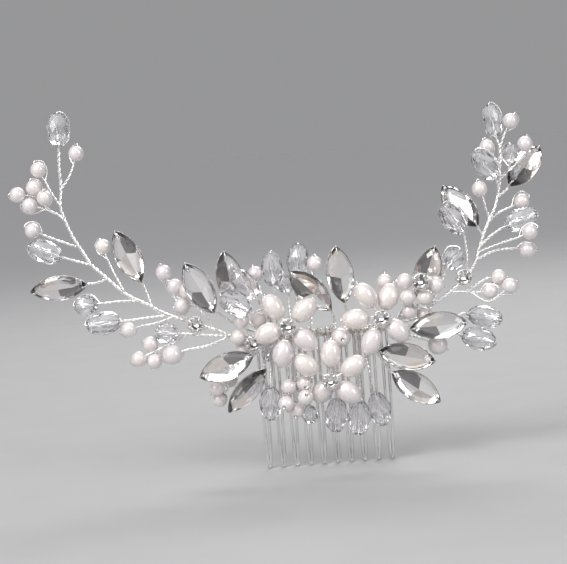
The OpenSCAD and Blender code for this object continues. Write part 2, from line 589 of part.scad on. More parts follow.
comb_teeth();
spine_rod();
spine_binding();
center_stems();
left_flower_petals();
right_flower_petals();
lower_flower_petals();
left_blossom_pearls();
right_blossom_pearls();
flower_cups();
flower_rhinestones();
upper_left_settings();
upper_left_navettes();
lower_left_settings();
lower_left_navettes();
top_settings();
top_navettes();
right_settings();
right_navettes();
upper_pearls();
side_pearls();
lower_pearls();
left_stem();
left_pearls();
left_settings();
left_navettes();
left_chaton_cup();
left_chaton();
right_stem();
right_pearls();
right_arm_settings();
right_arm_navettes();
right_chaton_cup();
right_chaton();
left_tip_bead();
left_outer_bead();
left_lower_bead();
left_round_bead();
left_inner_bead();
right_top_bead();
right_upper_bead();
right_small_bead();
right_outer_bead();
right_inner_bead();
right_round_bead();
top_bead_1();
top_bead_2();
top_bead_3();
top_bead_4();
top_crystal();
side_bead_1();
side_bead_2();
back_crystal();
drop_bead_1();
drop_bead_2();
drop_bead_3();
drop_bead_4();
drop_crystal();
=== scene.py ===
import math

import bmesh
import bpy
import numpy as np
from mathutils import Matrix, Vector


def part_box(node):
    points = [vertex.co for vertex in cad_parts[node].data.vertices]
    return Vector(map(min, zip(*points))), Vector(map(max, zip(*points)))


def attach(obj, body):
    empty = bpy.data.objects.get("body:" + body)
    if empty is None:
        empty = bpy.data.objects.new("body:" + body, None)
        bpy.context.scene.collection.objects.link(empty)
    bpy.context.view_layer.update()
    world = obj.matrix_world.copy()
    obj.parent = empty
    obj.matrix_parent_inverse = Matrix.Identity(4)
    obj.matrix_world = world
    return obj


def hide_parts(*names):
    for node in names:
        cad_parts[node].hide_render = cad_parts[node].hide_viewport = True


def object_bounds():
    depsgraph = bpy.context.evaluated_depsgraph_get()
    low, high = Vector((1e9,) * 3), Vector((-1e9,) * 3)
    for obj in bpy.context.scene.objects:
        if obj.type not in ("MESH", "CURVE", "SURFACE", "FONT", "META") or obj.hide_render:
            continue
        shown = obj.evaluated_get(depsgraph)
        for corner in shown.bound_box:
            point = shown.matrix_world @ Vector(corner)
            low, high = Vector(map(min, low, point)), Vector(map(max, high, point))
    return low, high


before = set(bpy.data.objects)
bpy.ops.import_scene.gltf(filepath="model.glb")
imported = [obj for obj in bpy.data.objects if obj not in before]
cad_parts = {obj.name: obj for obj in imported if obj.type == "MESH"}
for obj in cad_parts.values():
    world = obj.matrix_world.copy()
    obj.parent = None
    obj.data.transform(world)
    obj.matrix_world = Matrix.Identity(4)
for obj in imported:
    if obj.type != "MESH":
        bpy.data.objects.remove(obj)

CAD_BOX = [list(corner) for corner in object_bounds()]
MM = 0.001
TURN = 2 * math.pi
rng = np.random.default_rng(11)

# ---- Sizes in millimetres; most are those of part.scad ----

TEETH = 10
TOOTH_PITCH = 3.65
TOOTH_LENGTH = 35.5
COMB_WIRE = 0.84
LEG_GAP = 1.5
TOOTH_CURVE = 2.0
STEM_WIRE = 0.9
TWIG_WIRE = 0.7
THREAD_WIRE = 0.38
BINDING_PITCH = 1.2
PEARL = 4.1
BIG_PEARL = 5.2
PETAL_LENGTH = 7.4
PETAL_WIDTH = 5.4
OVAL = [8.7, 6.2]
SLIM_OVAL = [8.7, 5.2]
ROUND = [5.8, 5.8]
CRYSTAL = [4.6, 4.6]
BORE = 0.8
NAVETTE_LENGTH = 15.0
NAVETTE_WIDTH = 7.0
CHATON = 3.6
CUP_LIFT = 1.4

# ---- Places in millimetres, as in part.scad ----
# A stem or twig is a list of points. A pearl is its centre and the neck of its wire.
# A setting is its centre, turn, roll and pitch.

LEFT_STEM = [
  [-24, -3, 1.5], [-27, -3, 3], [-30.5, -3, 4.5], [-35, -3, 6], [-39, -3, 8], [-42, -3, 9.5],
  [-45, -3, 11.5], [-49.5, -3, 14], [-52.5, -2.5, 16.5], [-55.5, -2, 19.5], [-59, -1.5, 23],
  [-61, -1, 26.5], [-63, -0.5, 30], [-65, 0, 35], [-66, 0.5, 39], [-65.5, 1, 43.5],
  [-65.5, 1, 49], [-65.2, 1, 54]
]
LEFT_TWIGS = [
  [[-65.5, 1, 43.5], [-63.5, 1, 46], [-61.7, 1, 49.4]],
  [[-66, 0.5, 39], [-68, 0.5, 42.5], [-69.3, 0.5, 45.6]],
  [[-65, 0, 35], [-67, 0, 37], [-69.5, 0, 38.5], [-71.3, 1.4, 41.4], [-73.4, 1.2, 42.2]],
  [[-62.5, -0.5, 28], [-67, -1, 30], [-71, -1, 31.9]],
  [[-59, -1.5, 23], [-62.5, -1.8, 24.2], [-65.8, -2, 25.4]],
  [[-55.3, -2, 19], [-58, -2.2, 18.3], [-60.4, -2.5, 18.2]],
  [[-51, -3, 15.5], [-53, -2.6, 20], [-54.6, -2, 24.2]],
  [[-44, -3, 11], [-45, -2.6, 14.5], [-46, -2.5, 17.4]],
  [[-47.5, -3, 12.7], [-52, -3.4, 13], [-57, -3.5, 12.9]],
  [[-40, -3, 8.3], [-46, -3.5, 8.1], [-51.6, -3.8, 7.8]],
  [[-38.5, -3, 7.7], [-43, -4, 6.6], [-47.3, -4, 6.1]],
  [[-34.8, -3, 6.2], [-37, -3, 11], [-39.6, -1.2, 15.9]],
  [[-27.5, -3, 3.3], [-30, -3.5, 7], [-33.2, -4, 10.6]],
  [[-24, -3, 1.5], [-30, -3.4, 2.2], [-36.6, -3.5, 3.2]],
  [[-35.5, -3.5, 3], [-38.6, -1.6, 0.9], [-42.6, -3.5, -0.2]],
  [[-24, -3, 1.5], [-30, -3.6, -0.4], [-35.9, -4, -1.1]]
]
LEFT_PEARLS = [
  [[-60.7, 1, 52.5], [-61.7, 1, 49.4]],
  [[-71, 0.5, 49], [-69.3, 0.5, 45.6]],
  [[-72.6, 0.5, 44.4], [-71.3, 1.4, 41.4]],
  [[-77, 0, 42.9], [-73.4, 1.2, 42.2]],
  [[-69.7, -1.6, 41.6], [-69.5, 0, 38.5]],
  [[-74, 0, 39.8], [-69.5, 0, 38.5]],
  [[-73.7, -1, 33.2], [-71, -1, 31.9]],
  [[-55.6, -1, 27.6], [-54.6, -2, 24.2]],
  [[-50.4, -4.4, 5.4], [-47.3, -4, 6.1]],
  [[-40.2, -2.2, 19.6], [-39.6, -1.2, 15.9]],
  [[-37.5, -3.2, 15.8], [-33.2, -4, 10.6]],
  [[-34.2, -5.4, 14.6], [-33.2, -4, 10.6]],
  [[-36, -5.6, 10.7], [-33.2, -4, 10.6]],
  [[-45.2, -3, 1.1], [-42.6, -3.5, -0.2]],
  [[-48.5, -4, -2.5], [-42.6, -3.5, -0.2]],
  [[-44.6, -3, -3.5], [-42.6, -3.5, -0.2]]
]
LEFT_BIG_PEARLS = [[[-39.6, -4, -2.1], [-35.9, -4, -1.1]]]
LEFT_CHATON = [-32.8, -3.3, 5.3]
LEFT_SETTINGS = [
  [[-67.9, -2.2, 18.1], 3, 25, 0],
  [[-48.9, -2.2, 24.6], 112, -10, 0]
]

RIGHT_STEM = [
  [29, -3, 5.5], [33, -3, 7.5], [36.5, -3, 10], [40, -3, 13.5], [42, -2.5, 16.5], [43, -2, 19.5],
  [44.5, -1.5, 23], [46, -1, 26], [48, -0.5, 29.5], [49, 0, 32.5], [50, 0.5, 37], [50.5, 1, 42],
  [50.6, 1, 46]
]
RIGHT_TWIGS = [
  [[50.6, 1, 46], [49.9, 1, 47.4]],
  [[50.6, 1, 45], [51.6, 1, 47.5], [52.4, 1, 49.2]],
  [[50.4, 1, 40.5], [49.6, 1.2, 42], [48.9, 1.5, 42.9]],
  [[49, 0, 32.5], [49.3, -0.6, 34.5], [49, -1.5, 36.6]],
  [[46.5, -1, 27], [45.6, -1.2, 29.5], [45.2, -1.5, 31.9]],
  [[50.2, 0.6, 37.5], [53.2, -1.6, 39.8], [56, -2.2, 42.4]],
  [[50, 0.5, 37], [51.6, -0.5, 38.3], [52.5, -1.4, 39.8]],
  [[49, 0, 32.3], [50.6, -0.2, 33.4], [52, -0.4, 34.4]],
  [[45.8, -1, 25.6], [49, 0.4, 28], [52.6, 1.5, 29.3]],
  [[43.2, -2, 19.8], [46.5, -1.6, 22.4], [49.4, -1.2, 24.1]],
  [[42.6, -2.2, 18.4], [47, -4, 20], [53, -5.5, 21.6]],
  [[42, -2.5, 16.5], [47, -2.6, 18.4], [52.4, -2.6, 18.6]],
  [[44.2, -1.6, 22.2], [43.8, -1.8, 23.6], [43.1, -2, 24.6]],
  [[38.8, -3, 12.3], [39.4, -4.8, 17.6], [39, -5.6, 23.2]],
  [[29, -3, 5.5], [31.5, -3, 9.5], [33.4, -3, 13.7]],
  [[34.5, -3, 8.6], [38.5, -3.6, 8.2], [42, -4.2, 8]],
  [[38.5, -3.6, 8.2], [42, -3, 10.2], [44.6, -2.6, 11.4]],
  [[40, -4, 8.1], [44, -6.5, 5.6], [47, -6.6, 7]]
]
RIGHT_PEARLS = [
  [[53.9, 0.4, 52], [52.4, 1, 49.2]],
  [[47.4, 1.5, 45.6], [48.9, 1.5, 42.9]],
  [[44.3, -1.5, 34.9], [45.2, -1.5, 31.9]],
  [[57, -1.5, 45.7], [56, -2.2, 42.4]],
  [[55.7, 2, 30.6], [52.6, 1.5, 29.3]],
  [[56.2, -5.5, 22.9], [53, -5.5, 21.6]],
  [[55.7, -2.6, 18], [52.4, -2.6, 18.6]],
  [[47.7, -2.5, 11.4], [44.6, -2.6, 11.4]],
  [[50, -5.9, 9.2], [47, -6.6, 7]],
  [[44.9, -4.3, 8.1], [42, -4.2, 8]]
]
RIGHT_CHATON = [38.3, -3.6, 12.2]
RIGHT_SETTINGS = [
  [[39.2, 1.4, 30.2], 126, 10, -25],
  [[56.9, 3, 39.3], 45, -14, -25]
]
# Each faceted bead's node, then its centre, the neck of its wire, its length and its width.
LEFT_BEADS = {
  "left_tip_bead": [[-65, 1, 59], [-65.2, 1, 54], *OVAL],
  "left_outer_bead": [[-70.7, -2.2, 27.6], [-65.8, -2, 25.4], *OVAL],
  "left_lower_bead": [[-57, -3.8, 7.5], [-51.6, -3.8, 7.8], *OVAL],
  "left_round_bead": [[-61.2, -3, 12.7], [-57, -3.5, 12.9], *ROUND],
  "left_inner_bead": [[-40.7, -3.6, 3.7], [-36.6, -3.5, 3.2], *ROUND],
}
RIGHT_BEADS = {
  "right_top_bead": [[49.2, 1.3, 52.4], [49.9, 1, 47.4], *SLIM_OVAL],
  "right_upper_bead": [[46.1, -2.2, 41.1], [49, -1.5, 36.6], *OVAL],
  "right_small_bead": [[52.9, -1.6, 43.6], [52.5, -1.4, 39.8], *CRYSTAL],
  "right_outer_bead": [[54.8, -0.8, 26], [49.4, -1.2, 24.1], *OVAL],
  "right_inner_bead": [[36.2, -6.2, 27.9], [39, -5.6, 23.2], *OVAL],
  "right_round_bead": [[36.1, -3, 17.2], [33.4, -3, 13.7], *ROUND],
}
CENTER_BEADS = {
  "top_bead_1": [[-19, -5.5, 15], [-16, -5, 10.4], *OVAL],
  "top_bead_2": [[-21.9, -9.1, 10.5], [-17.9, -8.6, 7.6], *OVAL],
  "top_bead_3": [[-11.7, -5, 18.4], [-11.6, -5, 13], *OVAL],
  "top_bead_4": [[-4.8, 0.4, 19.7], [-5.5, 0, 14.2], *OVAL],
  "top_crystal": [[-8.6, -1, 13.9], [-7.9, -1, 11], *CRYSTAL],
  "side_bead_1": [[43.1, -4.5, 1.4], [37.6, -4.6, 2.9], *OVAL],
  "side_bead_2": [[40.7, -7.7, -3.8], [35.3, -6.9, -2.2], *OVAL],
  "back_crystal": [[-14, -5.6, -3.4], [-13, -3, -1.6], *CRYSTAL],
  "drop_bead_1": [[-14.8, -5, -16.9], [-14.5, -5, -11.4], *OVAL],
  "drop_bead_2": [[2.2, -4.3, -21.5], [3, -4.3, -16], *OVAL],
  "drop_bead_3": [[8.1, -6.7, -22.3], [8.8, -6.6, -16.8], *OVAL],
  "drop_bead_4": [[13.7, -3.9, -20.9], [12.6, -3.9, -15.5], *OVAL],
  "drop_crystal": [[-4.8, -3.2, -20.9], [-5.6, -3.2, -17.8], *CRYSTAL],
}

LEFT_FLOWER = [-8.7, -9.6, 3.8]
LEFT_PETALS = [
  [-12, -9.6, 9], [-4.2, -9.6, 7.5], [-14, -9.6, 2.2], [-4.6, -9.6, -0.2], [-10.6, -10, -3.3]
]
RIGHT_FLOWER = [15.6, -9, 4]
RIGHT_PETALS = [[9, -9, 4], [12, -9.7, 10], [18, -7.3, 9], [19.6, -9.1, 0.3], [12.7, -9, -2.2]]
LOWER_FLOWER = [1.2, -9, -11.4]
LOWER_PETALS = [
  [-4.8, -9, -6.9], [1.8, -9, -4.5], [7.4, -9, -8.2], [-1, -6.4, -14.6], [5.7, -9.4, -14.9]
]
LEFT_BLOSSOM = [-18, -4.4, -0.6]
LEFT_BLOSSOM_PEARLS = [[-20.8, -5.8, 5.6], [-22, -5.5, 1.3], [-16.2, -4.6, 5.4], [-21, -3.2, -2.4]]
RIGHT_BLOSSOM = [26.3, -9.4, 12.7]
RIGHT_BLOSSOM_PEARLS = [[22.4, -9, 12.9], [22.9, -9.2, 8.7], [27.3, -9.4, 8.3], [30.5, -9.2, 11.2]]
FLOWERS = {
  "left": (LEFT_FLOWER, LEFT_PETALS),
  "right": (RIGHT_FLOWER, RIGHT_PETALS),
  "lower": (LOWER_FLOWER, LOWER_PETALS),
}
BLOSSOMS = {"left": (LEFT_BLOSSOM, LEFT_BLOSSOM_PEARLS), "right": (RIGHT_BLOSSOM, RIGHT_BLOSSOM_PEARLS)}

COMB_SETTINGS = {
  "upper_left": [[[-30.7, -8.6, 15.4], 116, -8, 0], [[-23.2, 1.4, 16.2], 99, 12, 0]],
  "lower_left": [[[-25.5, -6.8, -6.1], 18, -12, 0], [[-21.2, -3, -12.8], 45, 35, 0]],
  "top": [[[-2, -3.2, 12], 132, -6, 4], [[5.8, -3.6, 15.5], 95, 10, 0]],
  "right": [
    [[30.5, -7.2, 0.6], 2, 0, 0], [[21.8, -5.6, -7], -15, 8, 0], [[23.6, -3.6, -15.8], -36, -8, 0],
    [[28.9, -3.2, 13.8], 71, -6, 0]
  ],
}

UPPER_PEARLS = [
  [[-16.2, -1, 17.2], [-15.5, -1, 14]], [[-0.4, -2.6, 18.8], [-1, -2, 15.4]],
  [[17.6, -3.2, 12.7], [17.3, -3, 9]]
]
SIDE_PEARLS = [
  [[23.3, -6.7, 4.8], [21.6, -4.6, 3]], [[27.2, -5, 3.3], [25.4, -3.2, 2.4]],
  [[-28.6, -3, -11.9], [-26, -2.4, -9]], [[-28.2, -0.4, -15.4], [-25.9, -1.6, -12.8]],
  [[-25.2, 0.6, -10.6], [-22.8, -0.4, -8.4]]
]
SIDE_BIG_PEARLS = [[[30.3, -3, -5.2], [27.2, -2.6, -3.6]], [[4.9, -5.4, -0.9], [4.5, -2.2, -0.5]]]
LOWER_PEARLS = [
  [[-9.8, -6.5, -12.6], [-9.5, -4.4, -9.8]], [[-5.6, -6.6, -12], [-5.8, -4, -10.6]],
  [[-5.6, -9.1, -15.4], [-6, -6, -17]], [[-10.8, -8.4, -16.8], [-9.8, -5.4, -15.8]],
  [[-8.3, -6, -19.2], [-7.8, -3.4, -17]]
]
CENTER_TWIGS = [
  [[-16.5, -1.7, 0.3], [-19.5, -2.5, 0.8], [-22.8, -3, 1.3]],
  [[17, -1.7, 0.3], [22, -2.6, 3], [27.9, -3, 5.1]],
  [[-15, -1.7, 0.6], [-23.2, -3.9, 5.2], [-26.9, -8.9, 8.7]],
  [[-14, -1.6, 0.8], [-18.6, -0.4, 4], [-21.9, 1.1, 8.5]],
  [[-12, -1.7, 0.6], [-13.6, -3, 6], [-16, -5, 10.4]],
  [[-12.6, -1.8, 0.4], [-14, -5, 7.9], [-17.9, -8.6, 7.6]],
  [[-13, -1.6, 0.8], [-14, -1.2, 7], [-15.5, -1, 14]],
  [[-11, -1.7, 0.6], [-11.5, -3, 6], [-11.6, -5, 13]],
  [[-7, -1.7, 0.6], [-6, -1.6, 7], [-5.5, 0, 14.2]],
  [[-8, -1.7, 0.6], [-8, -1.6, 6], [-7.9, -1, 11]],
  [[-3, -1.7, 0.6], [-2, -1.8, 7], [-1, -2, 15.4]],
  [[3, -1.7, 0.6], [3.6, -2.6, 3.5], [2.9, -3.2, 6.4]],
  [[7.5, -1.7, 0.6], [7.2, -3.2, 5], [6.4, -4, 8]],
  [[16, -1.7, 0.6], [17, -2.2, 4], [17.3, -3, 9]],
  [[19, -2, 1.4], [23.5, -2.8, 3.4], [26.5, -3.5, 6.7]],
  [[18, -1.8, 0.8], [21.6, -4.6, 3]],
  [[19, -2, 0.6], [25.4, -3.2, 2.4]],
  [[17, -1.7, -0.3], [21, -2.2, -1.4], [27.2, -2.6, -3.6]],
  [[16, -1.7, 0], [19.5, -4, 0], [22.9, -7, 0.4]],
  [[12.5, -1.7, -0.6], [13.4, -4, -2.6], [14.5, -6, -4.9]],
  [[12, -1.7, -0.6], [14.2, -3, -6], [17.4, -4, -11.4]],
  [[18, -1.8, 0.3], [27, -4.6, 0.8], [33, -5, 1.6], [37.6, -4.6, 2.9]],
  [[17, -1.7, 0], [25, -5, -0.8], [32.5, -5.2, -1.2], [35.3, -6.9, -2.2]],
  [[-15, -1.7, -0.4], [-16.4, -4, -2], [-18.4, -6.6, -3.8]],
  [[-14, -1.7, -0.6], [-14.9, -3, -4.4], [-16, -4.4, -7.6]],
  [[-15.5, -1.7, -0.5], [-19.6, -1.4, -4.6], [-26, -2.4, -9]],
  [[-19.6, -1.4, -4.6], [-22.8, -0.4, -8.4]],
  [[-26, -2.4, -9], [-25.9, -1.6, -12.8]],
  [[-13, -1.7, -0.6], [-13, -3, -1.6]],
  [[-13.5, -1.7, -0.6], [-13.9, -2.8, -6], [-14.5, -5, -11.4]],
  [[3.5, -1.7, -0.6], [3.4, -3.4, -10], [3, -4.3, -16]],
  [[9, -1.7, -0.6], [9, -4, -10], [8.8, -6.6, -16.8]],
  [[10.5, -1.7, -0.6], [11.5, -3, -9], [12.6, -3.9, -15.5]],
  [[-9.3, -1.7, -0.6], [-9.4, -3, -5], [-9.5, -4.4, -9.8]],
  [[-6, -1.7, -0.6], [-5.9, -3, -5], [-5.8, -4, -10.6]],
  [[-7.6, -1.7, -0.6], [-7.5, -3.3, -12], [-6, -6, -17]],
  [[-7.5, -3.3, -12], [-9.8, -5.4, -15.8]],
  [[-7.5, -3.3, -12], [-7.8, -3.4, -17]],
  [[-7.5, -3.3, -12], [-5.6, -3.2, -17.8]],
  [[4.2, -1.6, 0], [4.5, -2.2, -0.5]],
  [[-9.5, -1.7, 0.5], [-9, -5, 2], LEFT_FLOWER],
  [[14.5, -1.7, 0.5], [15, -5, 2], RIGHT_FLOWER],
  [[1, -1.7, -0.6], [1.2, -4, -6], LOWER_FLOWER],
  [[-14.5, -1.7, 0.2], [-16, -4, 0.5], LEFT_BLOSSOM],
  [[20, -2.2, 1.8], [23.6, -4.6, 8], RIGHT_BLOSSOM]
]


# ---- Mesh helpers ----


def unit(vector):
    """The vector at length one."""
    vector = np.asarray(vector, float)
    return vector / np.linalg.norm(vector)


def ends(piece):
    """The first two points of a piece, such as its centre and its neck."""
    return np.array(piece[0], float), np.array(piece[1], float)


def basis(axis):
    """Columns: two directions across an axis, and the axis."""
    axis = unit(axis)
    helper = np.array([0.0, 1.0, 0.0]) if abs(axis[1]) < 0.9 else np.array([1.0, 0.0, 0.0])
    across = unit(np.cross(helper, axis))
    return np.column_stack([across, np.cross(axis, across), axis])


def linked(name, data):
    """A new object in the scene."""
    obj = bpy.data.objects.new(name, data)
    bpy.context.scene.collection.objects.link(obj)
    return obj


class Shell:
    """Collects the closed solids of one piece, in millimetres, with a material and a tone for each face."""

    def __init__(self):
        self.points, self.faces, self.materials, self.smooth, self.tones = [], [], [], [], []
        self.count = 0

    def add(self, points, faces, material=0, smooth=True, tones=None):
        points = np.asarray(points, float).reshape(-1, 3)
        self.points.append(points)
        self.faces += [[self.count + i for i in face] for face in faces]
        self.count += len(points)
        materials = material if isinstance(material, list) else [material] * len(faces)
        self.materials += materials
        self.smooth += [smooth] * len(faces)
        self.tones += [0.5] * len(faces) if tones is None else list(tones)

    def piece(self, name, body, slot, materials, nodes):
        mesh = bpy.data.meshes.new(name)
        mesh.from_pydata((np.vstack(self.points) * MM).tolist(), [], self.faces)
        mesh.polygons.foreach_set("material_index", self.materials)
        mesh.polygons.foreach_set("use_smooth", self.smooth)
        tone = mesh.attributes.new("tone", "FLOAT", "FACE")
        tone.data.foreach_set("value", np.array(self.tones, float))
        for material in materials:
            mesh.materials.append(material)
        mesh.update()
        obj = linked(name, mesh)
        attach(obj, body)
        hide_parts(*nodes)


def ring_faces(rings, sides, closed=False):
    """Quads between rings of points, each with the same number of sides."""
    faces = []
    for r in range(rings if closed else rings - 1):
        a, b = r * sides, (r + 1) % rings * sides
        for i in range(sides):
            j = (i + 1) % sides
            faces.append([a + i, a + j, b + j, b + i])
    return faces


SPAN_POINTS = 12


def smooth_route(points, step=0.3):
    """A Catmull-Rom curve through the points, resampled at even steps."""
    p = np.asarray(points, float)
    dense = p
    if len(p) > 2:
        p = np.vstack([2 * p[0] - p[1], p, 2 * p[-1] - p[-2]])
        knots = np.concatenate([[0], np.cumsum(np.linalg.norm(np.diff(p, axis=0), axis=1) ** 0.5)])
        dense = []
        for i in range(1, len(p) - 2):
            t0, t1, t2, t3 = knots[i - 1 : i + 3]
            for t in np.linspace(t1, t2, SPAN_POINTS, endpoint=i == len(p) - 3):
                a1 = ((t1 - t) * p[i - 1] + (t - t0) * p[i]) / (t1 - t0)
                a2 = ((t2 - t) * p[i] + (t - t1) * p[i + 1]) / (t2 - t1)
                a3 = ((t3 - t) * p[i + 1] + (t - t2) * p[i + 2]) / (t3 - t2)
                b1 = ((t2 - t) * a1 + (t - t0) * a2) / (t2 - t0)
                b2 = ((t3 - t) * a2 + (t - t1) * a3) / (t3 - t1)
                dense.append(((t2 - t) * b1 + (t - t1) * b2) / (t2 - t1))
        dense = np.array(dense)
    along = np.concatenate([[0], np.cumsum(np.linalg.norm(np.diff(dense, axis=0), axis=1))])
    count = max(3, int(round(along[-1] / step)) + 1)
    even = np.linspace(0, along[-1], count)
    return np.column_stack([np.interp(even, along, dense[:, k]) for k in range(3)])


def transport(route):
    """Two directions across a route that turn as little as they can along it."""
    tangents = np.gradient(route, axis=0)
    tangents /= np.linalg.norm(tangents, axis=1)[:, None]
    side = basis(tangents[0])[:, 0]
    sides = []
    for tangent in tangents:
        side = unit(side - tangent * side.dot(tangent))
        sides.append(side)
    sides = np.array(sides)
    return tangents, sides, np.cross(tangents, sides)


END_RING_OUT = 0.6
END_RING_WIDTH = 0.75
END_TIP_OUT = 0.9


def tube(shell, route, diameter, sides=8):
    """A round wire along a route. Each end closes over a narrower ring to a tip, both set out in radii."""
    route = np.asarray(route, float)
    radius = diameter / 2
    tangents, across, up = transport(route)
    turns = np.arange(sides) * TURN / sides
    cosines, sines = np.cos(turns)[None, :, None], np.sin(turns)[None, :, None]
    circle = cosines * across[:, None, :] + sines * up[:, None, :]
    rings = route[:, None, :] + radius * circle
    first = route[0] - tangents[0] * radius * END_RING_OUT + radius * END_RING_WIDTH * circle[0]
    last = route[-1] + tangents[-1] * radius * END_RING_OUT + radius * END_RING_WIDTH * circle[-1]
    rings = np.concatenate([first[None], rings, last[None]])
    faces = ring_faces(len(rings), sides)
    points = rings.reshape(-1, 3)
    tips = np.array([
        route[0] - tangents[0] * radius * END_TIP_OUT, route[-1] + tangents[-1] * radius * END_TIP_OUT
    ])
    low, high = len(points), len(points) + 1
    top = len(points) - sides
    for i in range(sides):
        j = (i + 1) % sides
        faces.append([low, j, i])
        faces.append([high, top + i, top + j])
    shell.add(np.vstack([points, tips]), faces)


TWIST_STEP = 0.25
STRAND_REACH = {2: 1.0, 3: 1.155}
STRAND_FILL = 0.54
TWIST_SLACK = 0.1
TWIST_WANDER = 0.25


def twisted(shell, points, diameter, strands=2, pitch=2.5, sides=8):
    """A wire of two or three twisted strands, with a little slack and wander."""
    route = smooth_route(points, TWIST_STEP)
    _, across, up = transport(route)
    along = np.concatenate([[0], np.cumsum(np.linalg.norm(np.diff(route, axis=0), axis=1))])
    reach = STRAND_REACH[strands]
    strand = diameter * STRAND_FILL / (1 + reach)
    phase = rng.uniform(0, TURN)
    slack = 1 + TWIST_SLACK * np.sin(along * rng.uniform(0.5, 0.9) + phase)
    for s in range(strands):
        angle = phase + TURN * (along / pitch + s / strands) + TWIST_WANDER * np.sin(along * 0.8)
        offset = strand * reach * slack
        line = route + offset[:, None] * (np.cos(angle)[:, None] * across + np.sin(angle)[:, None] * up)
        tube(shell, line, strand * 2, sides)


def ring(radius, height, sides, turn=0):
    """Points round a circle; the turn is in steps between points."""
    turns = (np.arange(sides) + turn) * TURN / sides
    return np.column_stack([radius * np.cos(turns), radius * np.sin(turns), np.full(sides, height)])


def lathe(shell, profile, centre, frame_axes, segments=32, warp=None):
    """Turns a closed profile of (radius, height) about an axis, as a ring-shaped solid."""
    local = np.vstack([ring(radius, height, segments) for radius, height in profile])
    if warp is not None:
        local = warp(local)
    faces = [face[::-1] for face in ring_faces(len(profile), segments, closed=True)]
    shell.add(local @ frame_axes.T + centre, faces)


# ---- Pearls ----


HOLE_LIP = 0.12
LIP_FLARE = 0.03
LIP_DROP = 0.01
LIP_DEPTH = 0.1
MOST_SWELL = 0.012


def pearl_profile(width, length, rings=20):
    """A drilled pearl's outline, with soft lips at both ends of its hole."""
    bore = BORE / 2
    start = math.asin((bore + HOLE_LIP) / (width / 2))
    turns = np.linspace(start, math.pi - start, rings)
    outer = [(width / 2 * math.sin(a), -length / 2 * math.cos(a)) for a in turns]
    lip = length / 2 * math.cos(start)
    upper, lower = (bore + LIP_FLARE, lip - LIP_DROP), (bore, lip - LIP_DEPTH)
    return outer + [upper, lower, (bore, -lip + LIP_DEPTH), (bore + LIP_FLARE, -lip + LIP_DROP)]


def uneven(amount, power):
    """A small, smooth departure from round, different for each pearl: three waves and a lean."""
    phases = rng.uniform(0, TURN, 4)
    lean = rng.uniform(-1, 1)

    def warp(points):
        angle = np.arctan2(points[:, 1], points[:, 0])
        height = points[:, 2] / np.abs(points[:, 2]).max()
        swell = amount * (
            np.sin(2 * angle + phases[0]) * 0.5
            + np.sin(3 * angle + 2 * height + phases[1]) * 0.3
            + np.sin(2.6 * height + phases[2]) * 0.6
            + lean * height * power
        )
        out = points.copy()
        out[:, :2] *= (1 + np.minimum(swell, MOST_SWELL))[:, None]
        return out

    return warp


def add_pearl(shell, item):
    piece, diameter = item
    centre, neck = ends(piece)
    lathe(shell, pearl_profile(diameter, diameter), centre, basis(centre - neck), 30, uneven(0.008, 0.3))


def add_petal(shell, item):
    centre, hub = ends(item)
    profile = pearl_profile(PETAL_WIDTH, PETAL_LENGTH, 26)
    lathe(shell, profile, centre, basis(centre - hub), 36, uneven(0.02, 0.8))


# ---- Faceted beads ----


# Rings of corners, neck to far end: radius and height as shares of the bead's, and turn in facets.
OVAL_RINGS = [
    (0.44, -1, 0), (0.8, -0.66, 0.5), (0.985, -0.16, 0), (0.985, 0.2, 0.5), (0.78, 0.7, 0), (0.42, 1, 0.5)
]
ROUND_RINGS = [(0.45, -1, 0), (0.84, -0.62, 0.5), (1, 0, 0), (0.84, 0.62, 0.5), (0.45, 1, 0)]
OVAL_SIDES = 10
ROUND_SIDES = 8


def add_bead(shell, bead):
    """A cut glass bead: rings of corners, each turned half a facet from the last, around a drilled hole."""
    centre, neck = ends(bead)
    length, width = bead[2:]
    rings, sides = (OVAL_RINGS, OVAL_SIDES) if length > width + 1 else (ROUND_RINGS, ROUND_SIDES)
    half, wide = length / 2, width / 2
    points = [ring(wide * radius, half * height, sides, turn) for radius, height, turn in rings]
    points += [ring(BORE / 2, half * height, sides, rings[end][2]) for height, end in ((1, -1), (-1, 0))]
    faces = []
    for r in range(len(rings) - 1):
        a, b = r * sides, (r + 1) * sides
        ahead = rings[r + 1][2] > rings[r][2]
        for i in range(sides):
            j = (i + 1) % sides
            if ahead:
                faces += [[a + i, a + j, b + i], [b + i, a + j, b + j]]
            else:
                faces += [[a + i, b + j, b + i], [a + i, a + j, b + j]]
    top, high = (len(rings) - 1) * sides, len(rings) * sides
    low = high + sides
    for i in range(sides):
        j = (i + 1) % sides
        faces.append([top + i, top + j, high + j, high + i])
        faces.append([low + i, low + j, j, i])
    half_turned = rings[-1][2] != rings[0][2]
    for i in range(sides):
        j = (i + 1) % sides
        if half_turned:
            faces += [[high + i, low + j, low + i], [high + i, high + j, low + j]]
        else:
            faces.append([high + i, high + j, low + j, low + i])
    tones = rng.uniform(0, 1, len(faces))
    shell.add(np.vstack(points) @ basis(centre - neck).T + centre, faces, 0, False, tones)


# ---- Navettes, rhinestones and their settings ----


def outline(length, width, height, count):
    """The pointed oval of a navette, from one tip round to the other and back."""
    radius = (length * length + width * width) / (4 * width)
    reach = math.asin(length / 2 / radius)
    drop = radius - width / 2
    angles = np.linspace(reach, -reach, count + 1)[:-1]
    upper = [(radius * math.sin(a), radius * math.cos(a) - drop, height) for a in angles]
    return np.array(upper + [(-x, -y, z) for x, y, z in upper])


